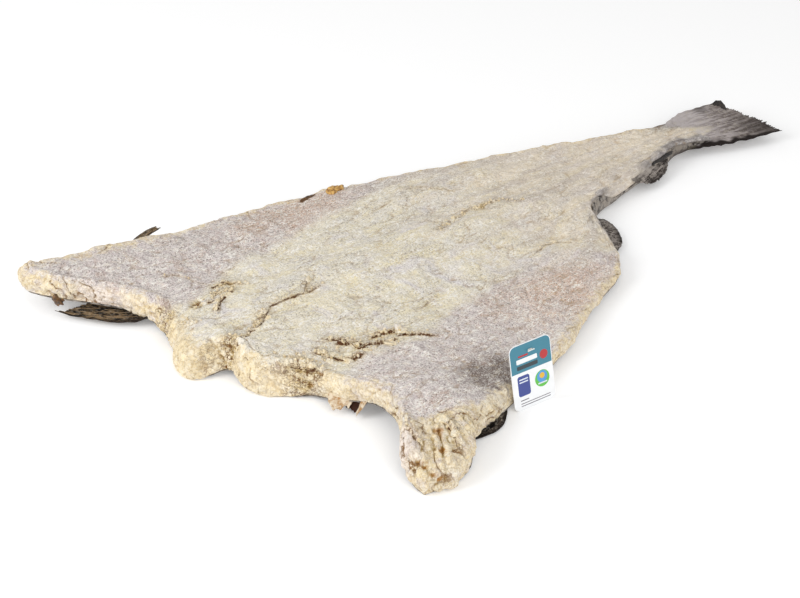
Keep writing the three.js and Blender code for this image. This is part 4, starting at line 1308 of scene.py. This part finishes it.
def plate(outline, low, high, hole=False):
    """Points and cells of a flat plate on the tag between two heights out of its back: loops of its
    front edge and back edge, closed over its middle, or through the tag's hole."""
    count = len(outline)
    heart = np.array([0, HOLE_UP]) if hole else outline.mean(axis=0)
    if hole:
        turn = np.arctan2(*(outline - heart).T[::-1])
        inner = heart + HOLE_RADIUS * np.column_stack([np.cos(turn), np.sin(turn)])
        loops = [(inner, low), (inner, high), (outline, high), (outline, low)]
    else:
        loops = [(outline, high), (outline, low)]
    points = np.concatenate([np.column_stack([loop, np.full(count, out)]) for loop, out in loops])
    number = [k * count + np.arange(count) for k in range(len(loops))]
    faces = [bands(number)]
    if hole:
        faces.append(band_quads(number[-1], number[0]))
    else:
        points = np.concatenate([points, [(*heart, high), (*heart, low)]])
        front, back = np.full(count, 2 * count), np.full(count, 2 * count + 1)
        faces += [np.stack([front, number[0], np.roll(number[0], -1)], axis=1),
                  np.stack([back, np.roll(number[1], -1), number[1]], axis=1)]
    return on_tag(points), faces


def tag_piece(name, shapes, material, low, high, hole=False):
    """One piece of the tag from outlines that lie in one layer and share one material."""
    points, faces, count = [], [], 0
    for outline in shapes:
        some, cells = plate(outline, low, high, hole)
        points.append(some)
        faces += [part + count for part in cells]
        count += len(some)
    piece = make_piece(name, np.concatenate(points), faces, smooth=False)
    piece.data.materials.append(material)
    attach(piece, "root")
    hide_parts("tag")


def ink(name, code):
    """Offset ink under the laminate: an even colour with a slight mottle, glossy."""
    material, tree, shader = new_material(name, Roughness=0.28, Coat_Weight=0.5, Coat_Roughness=0.12)
    place = add(tree, "TexCoord", out="Object")
    tone = add(tree, "TexNoise", {"Vector": place, "Scale": 1 / (9 * MM), "Detail": 2})
    deeper = (*(0.86 * np.array(linear(code)[:3])), 1.0)
    colour = add(tree, "Mix", {0: tone, 6: deeper, 7: linear(code)}, 2, data_type="RGBA")
    tree.links.new(colour, shader.inputs["Base Color"])
    return material


half_tag = TAG_WIDTH / 2
half_print = half_tag - WHITE_RIM
tag_piece("tag_card", [rounded_box(-half_tag, half_tag, 0, TAG_HEIGHT, TAG_CORNER)],
          ink("laminated card", "#f6f7f8"), 0, CARD_THICKNESS, hole=True)

# Each ink layer is sunk a little into the card and stands out further than the one below.
ink_layers = [(CARD_THICKNESS - INK_SUNK, CARD_THICKNESS + k * INK_THICKNESS) for k in (1, 2, 3)]
header = rounded_box(-half_print, half_print, HEADER_FOOT, TAG_HEIGHT - WHITE_RIM, 0.3,
                     TAG_CORNER - WHITE_RIM)
tag_piece("tag_header", [header], ink("teal ink", "#2f7f95"), *ink_layers[0], hole=True)

# Bars, fields and discs stand for the print: their layer, ink and colour, and outlines in mm.
for name, layer, ink_name, code, shapes in [
        ("tag_red_print", 1, "red ink", "#b9121c", [rounded_box(-15, -3, 55.5, 57.3, 0.5),
                                                    disc(15.5, 50, 4.8)]),
        ("tag_white_print", 1, "white ink", "#f4f6f6", [rounded_box(-17.5, 7.5, 48.8, 53.6, 0.8)]),
        ("tag_black_print", 1, "black ink", "#1c3038", [rounded_box(-17.5, 7.5, 42.6, 46.8, 0.8)]),
        ("tag_blue_print", 0, "blue ink", "#2c3f8f", [rounded_box(-18.5, -4, 14.5, 36, 2.5)]),
        ("tag_green_print", 0, "green ink", "#5cbf3e", [disc(11, 25.5, 8.8)]),
        ("tag_sky_print", 1, "light blue ink", "#4a9ad8", [disc(11, 27.5, 6.2)]),
        ("tag_yellow_print", 2, "yellow ink", "#e6b428", [disc(11, 28.5, 3)]),
        ("tag_pale_print", 2, "pale ink", "#dfe6f2", [rounded_box(-16.5, -6, 31.5, 32.8, 0.5),
                                                      rounded_box(-16.5, -6, 28.6, 29.9, 0.5),
                                                      rounded_box(5.5, 16.5, 20.2, 21.6, 0.5)]),
        ("tag_small_print", 0, "grey ink", "#6d6872", [rounded_box(-17, -7, 9.6, 10.6, 0.3),
                                                       rounded_box(-17, 19, 6.4, 7.2, 0.3),
                                                       rounded_box(-17, 19, 3.9, 4.7, 0.3)])]:
    tag_piece(name, shapes, ink(ink_name, code), *ink_layers[layer])

PIN_RADIUS = 0.7
PIN_BAR = 7                       # length of the bar across its end, in front of the hole
PIN_OUT = 2                       # from the card's front to the bar's middle
PIN_SEAT = (190, 196, 10)         # the pin's end, inside the flap
PIN_TURN = (196, 196, 33)         # where it bends towards the tag
PIN_BEHIND = (0, HOLE_UP - 2, -7)  # where it comes up to the hole, in the tag's own frame


def tube(stations, radius, facing, steps=48, sides=14):
    """A round rod along a smooth curve through stations: a circle square to the curve at each step,
    its first axis the part of facing that is square to it, with half-round ends."""
    centre = space_curve(stations)(np.linspace(0, 1, steps))
    along = np.gradient(centre, axis=0)
    along /= np.linalg.norm(along, axis=1, keepdims=True)
    fall = np.linspace(0, np.pi / 2, 5)[1:]
    centre = np.concatenate([centre[0] - np.outer(np.sin(fall[::-1]), along[0]) * radius, centre,
                             centre[-1] + np.outer(np.sin(fall), along[-1]) * radius])
    girth = radius * np.concatenate([np.cos(fall[::-1]), np.ones(steps), np.cos(fall)])
    along = np.concatenate([along[[0] * len(fall)], along, along[[-1] * len(fall)]])
    first = facing - (along @ facing)[:, None] * along
    first /= np.linalg.norm(first, axis=1, keepdims=True)
    second = np.cross(along, first)
    turn = np.arange(sides) * 2 * np.pi / sides
    ring = first[:, None] * np.cos(turn)[:, None] + second[:, None] * np.sin(turn)[:, None]
    points = (centre[1:-1, None] + ring[1:-1] * girth[1:-1, None, None]).reshape(-1, 3)
    number = np.arange(len(points)).reshape(-1, sides)
    points = np.concatenate([points, centre[[0, -1]]])
    faces = [bands(number, flip=True),
             np.stack([np.full(sides, len(points) - 2), np.roll(number[0], -1), number[0]], axis=1),
             np.stack([np.full(sides, len(points) - 1), number[-1], np.roll(number[-1], -1)], axis=1)]
    return points, faces


bar = on_tag([(share * PIN_BAR / 2, HOLE_UP, CARD_THICKNESS + PIN_OUT) for share in (-1, 0, 1)])
shaft, shaft_faces = tube([PIN_SEAT, PIN_TURN, on_tag(PIN_BEHIND), bar[1]], PIN_RADIUS, tag_across)
cross, cross_faces = tube(bar, PIN_RADIUS, tag_up, steps=12)
pin = make_piece("tagging_pin", np.concatenate([shaft, cross]),
                 shaft_faces + [cells + len(shaft) for cells in cross_faces])

# Clear-white nylon, moulded: slightly see-through, with a soft gloss.
nylon, tree, shader = new_material("moulded nylon", Roughness=0.32, Transmission_Weight=0.25, IOR=1.53)
place = add(tree, "TexCoord", out="Object")
haze = add(tree, "TexNoise", {"Vector": place, "Scale": 1 / (2 * MM), "Detail": 2})
colour = add(tree, "Mix", {0: haze, 6: linear("#e9ebe6"), 7: linear("#fbfcf9")}, 2, data_type="RGBA")
tree.links.new(colour, shader.inputs["Base Color"])
pin.data.materials.append(nylon)
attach(pin, "root")
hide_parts("tag_pin")

# ------------------------------------------------------------------------------------ the studio
# Not part of the fish: a pale floor, two large soft lamps, a white sky and the camera, which stands
# to the front right of the neck and looks down over the fish to its tail.

CAMERA_PLACE = (1304, -990, 1150)     # mm in the fish's frame
CAMERA_YAW = 47.1                     # degrees, anticlockwise from looking along the backbone
CAMERA_PITCH = 32.9                   # degrees down
CAMERA_LENS = 90.1                    # mm, on a sensor of the next width
CAMERA_SENSOR = 36
CAMERA_REACH = 20                     # m
FLOOR_REACH = 6000                    # mm
FLOOR_GLOW = 0.16
SKY_STRENGTH = 0.64
LAMP_AIM = (0, 250, 20)               # mm in the fish's frame, in the middle of the loins

camera = bpy.data.objects.new("camera", bpy.data.cameras.new("camera"))
camera.data.lens = CAMERA_LENS
camera.data.sensor_width = CAMERA_SENSOR
camera.data.clip_end = CAMERA_REACH
camera.location = (np.array(CAMERA_PLACE) + fish_origin) * MM
camera.rotation_euler = (math.radians(90 - CAMERA_PITCH), 0, math.radians(CAMERA_YAW))
bpy.context.scene.collection.objects.link(camera)
bpy.context.scene.camera = camera

# Matt white paper. It gives off a little light of its own, so that the ground stays white.
floor_points = np.array([(-1, -1, 0), (1, -1, 0), (1, 1, 0), (-1, 1, 0)], float) * FLOOR_REACH
floor = make_piece("floor", floor_points, [np.array([[0, 1, 2, 3]])], smooth=False)
paper, tree, shader = new_material("matt white paper", Roughness=0.95, Base_Color=linear("#f4f4f4"),
                                   Emission_Color=linear("#ffffff"), Emission_Strength=FLOOR_GLOW)
floor.data.materials.append(paper)


def soft_lamp(name, place, size, power):
    """A large square lamp, its place and size in mm, that looks at the loins."""
    lamp = bpy.data.objects.new(name, bpy.data.lights.new(name, "AREA"))
    lamp.data.shape = "SQUARE"
    lamp.data.size = size * MM
    lamp.data.energy = power
    start, end = ((np.array(p, float) + fish_origin) * MM for p in (place, LAMP_AIM))
    away = start - end
    lamp.location = start
    lamp.rotation_euler = (math.atan2(math.hypot(away[0], away[1]), away[2]), 0,
                           math.atan2(away[0], -away[1]))
    bpy.context.scene.collection.objects.link(lamp)


soft_lamp("key lamp", (-700, -1900, 1400), size=1400, power=34)
soft_lamp("fill lamp", (2000, -300, 1300), size=1600, power=20)

sky = bpy.data.worlds.new("studio")
bpy.context.scene.world = sky
sky.use_nodes = True
sky.node_tree.nodes["Background"].inputs["Color"].default_value = linear("#ffffff")
sky.node_tree.nodes["Background"].inputs["Strength"].default_value = SKY_STRENGTH
bpy.context.scene.view_settings.view_transform = "Standard"
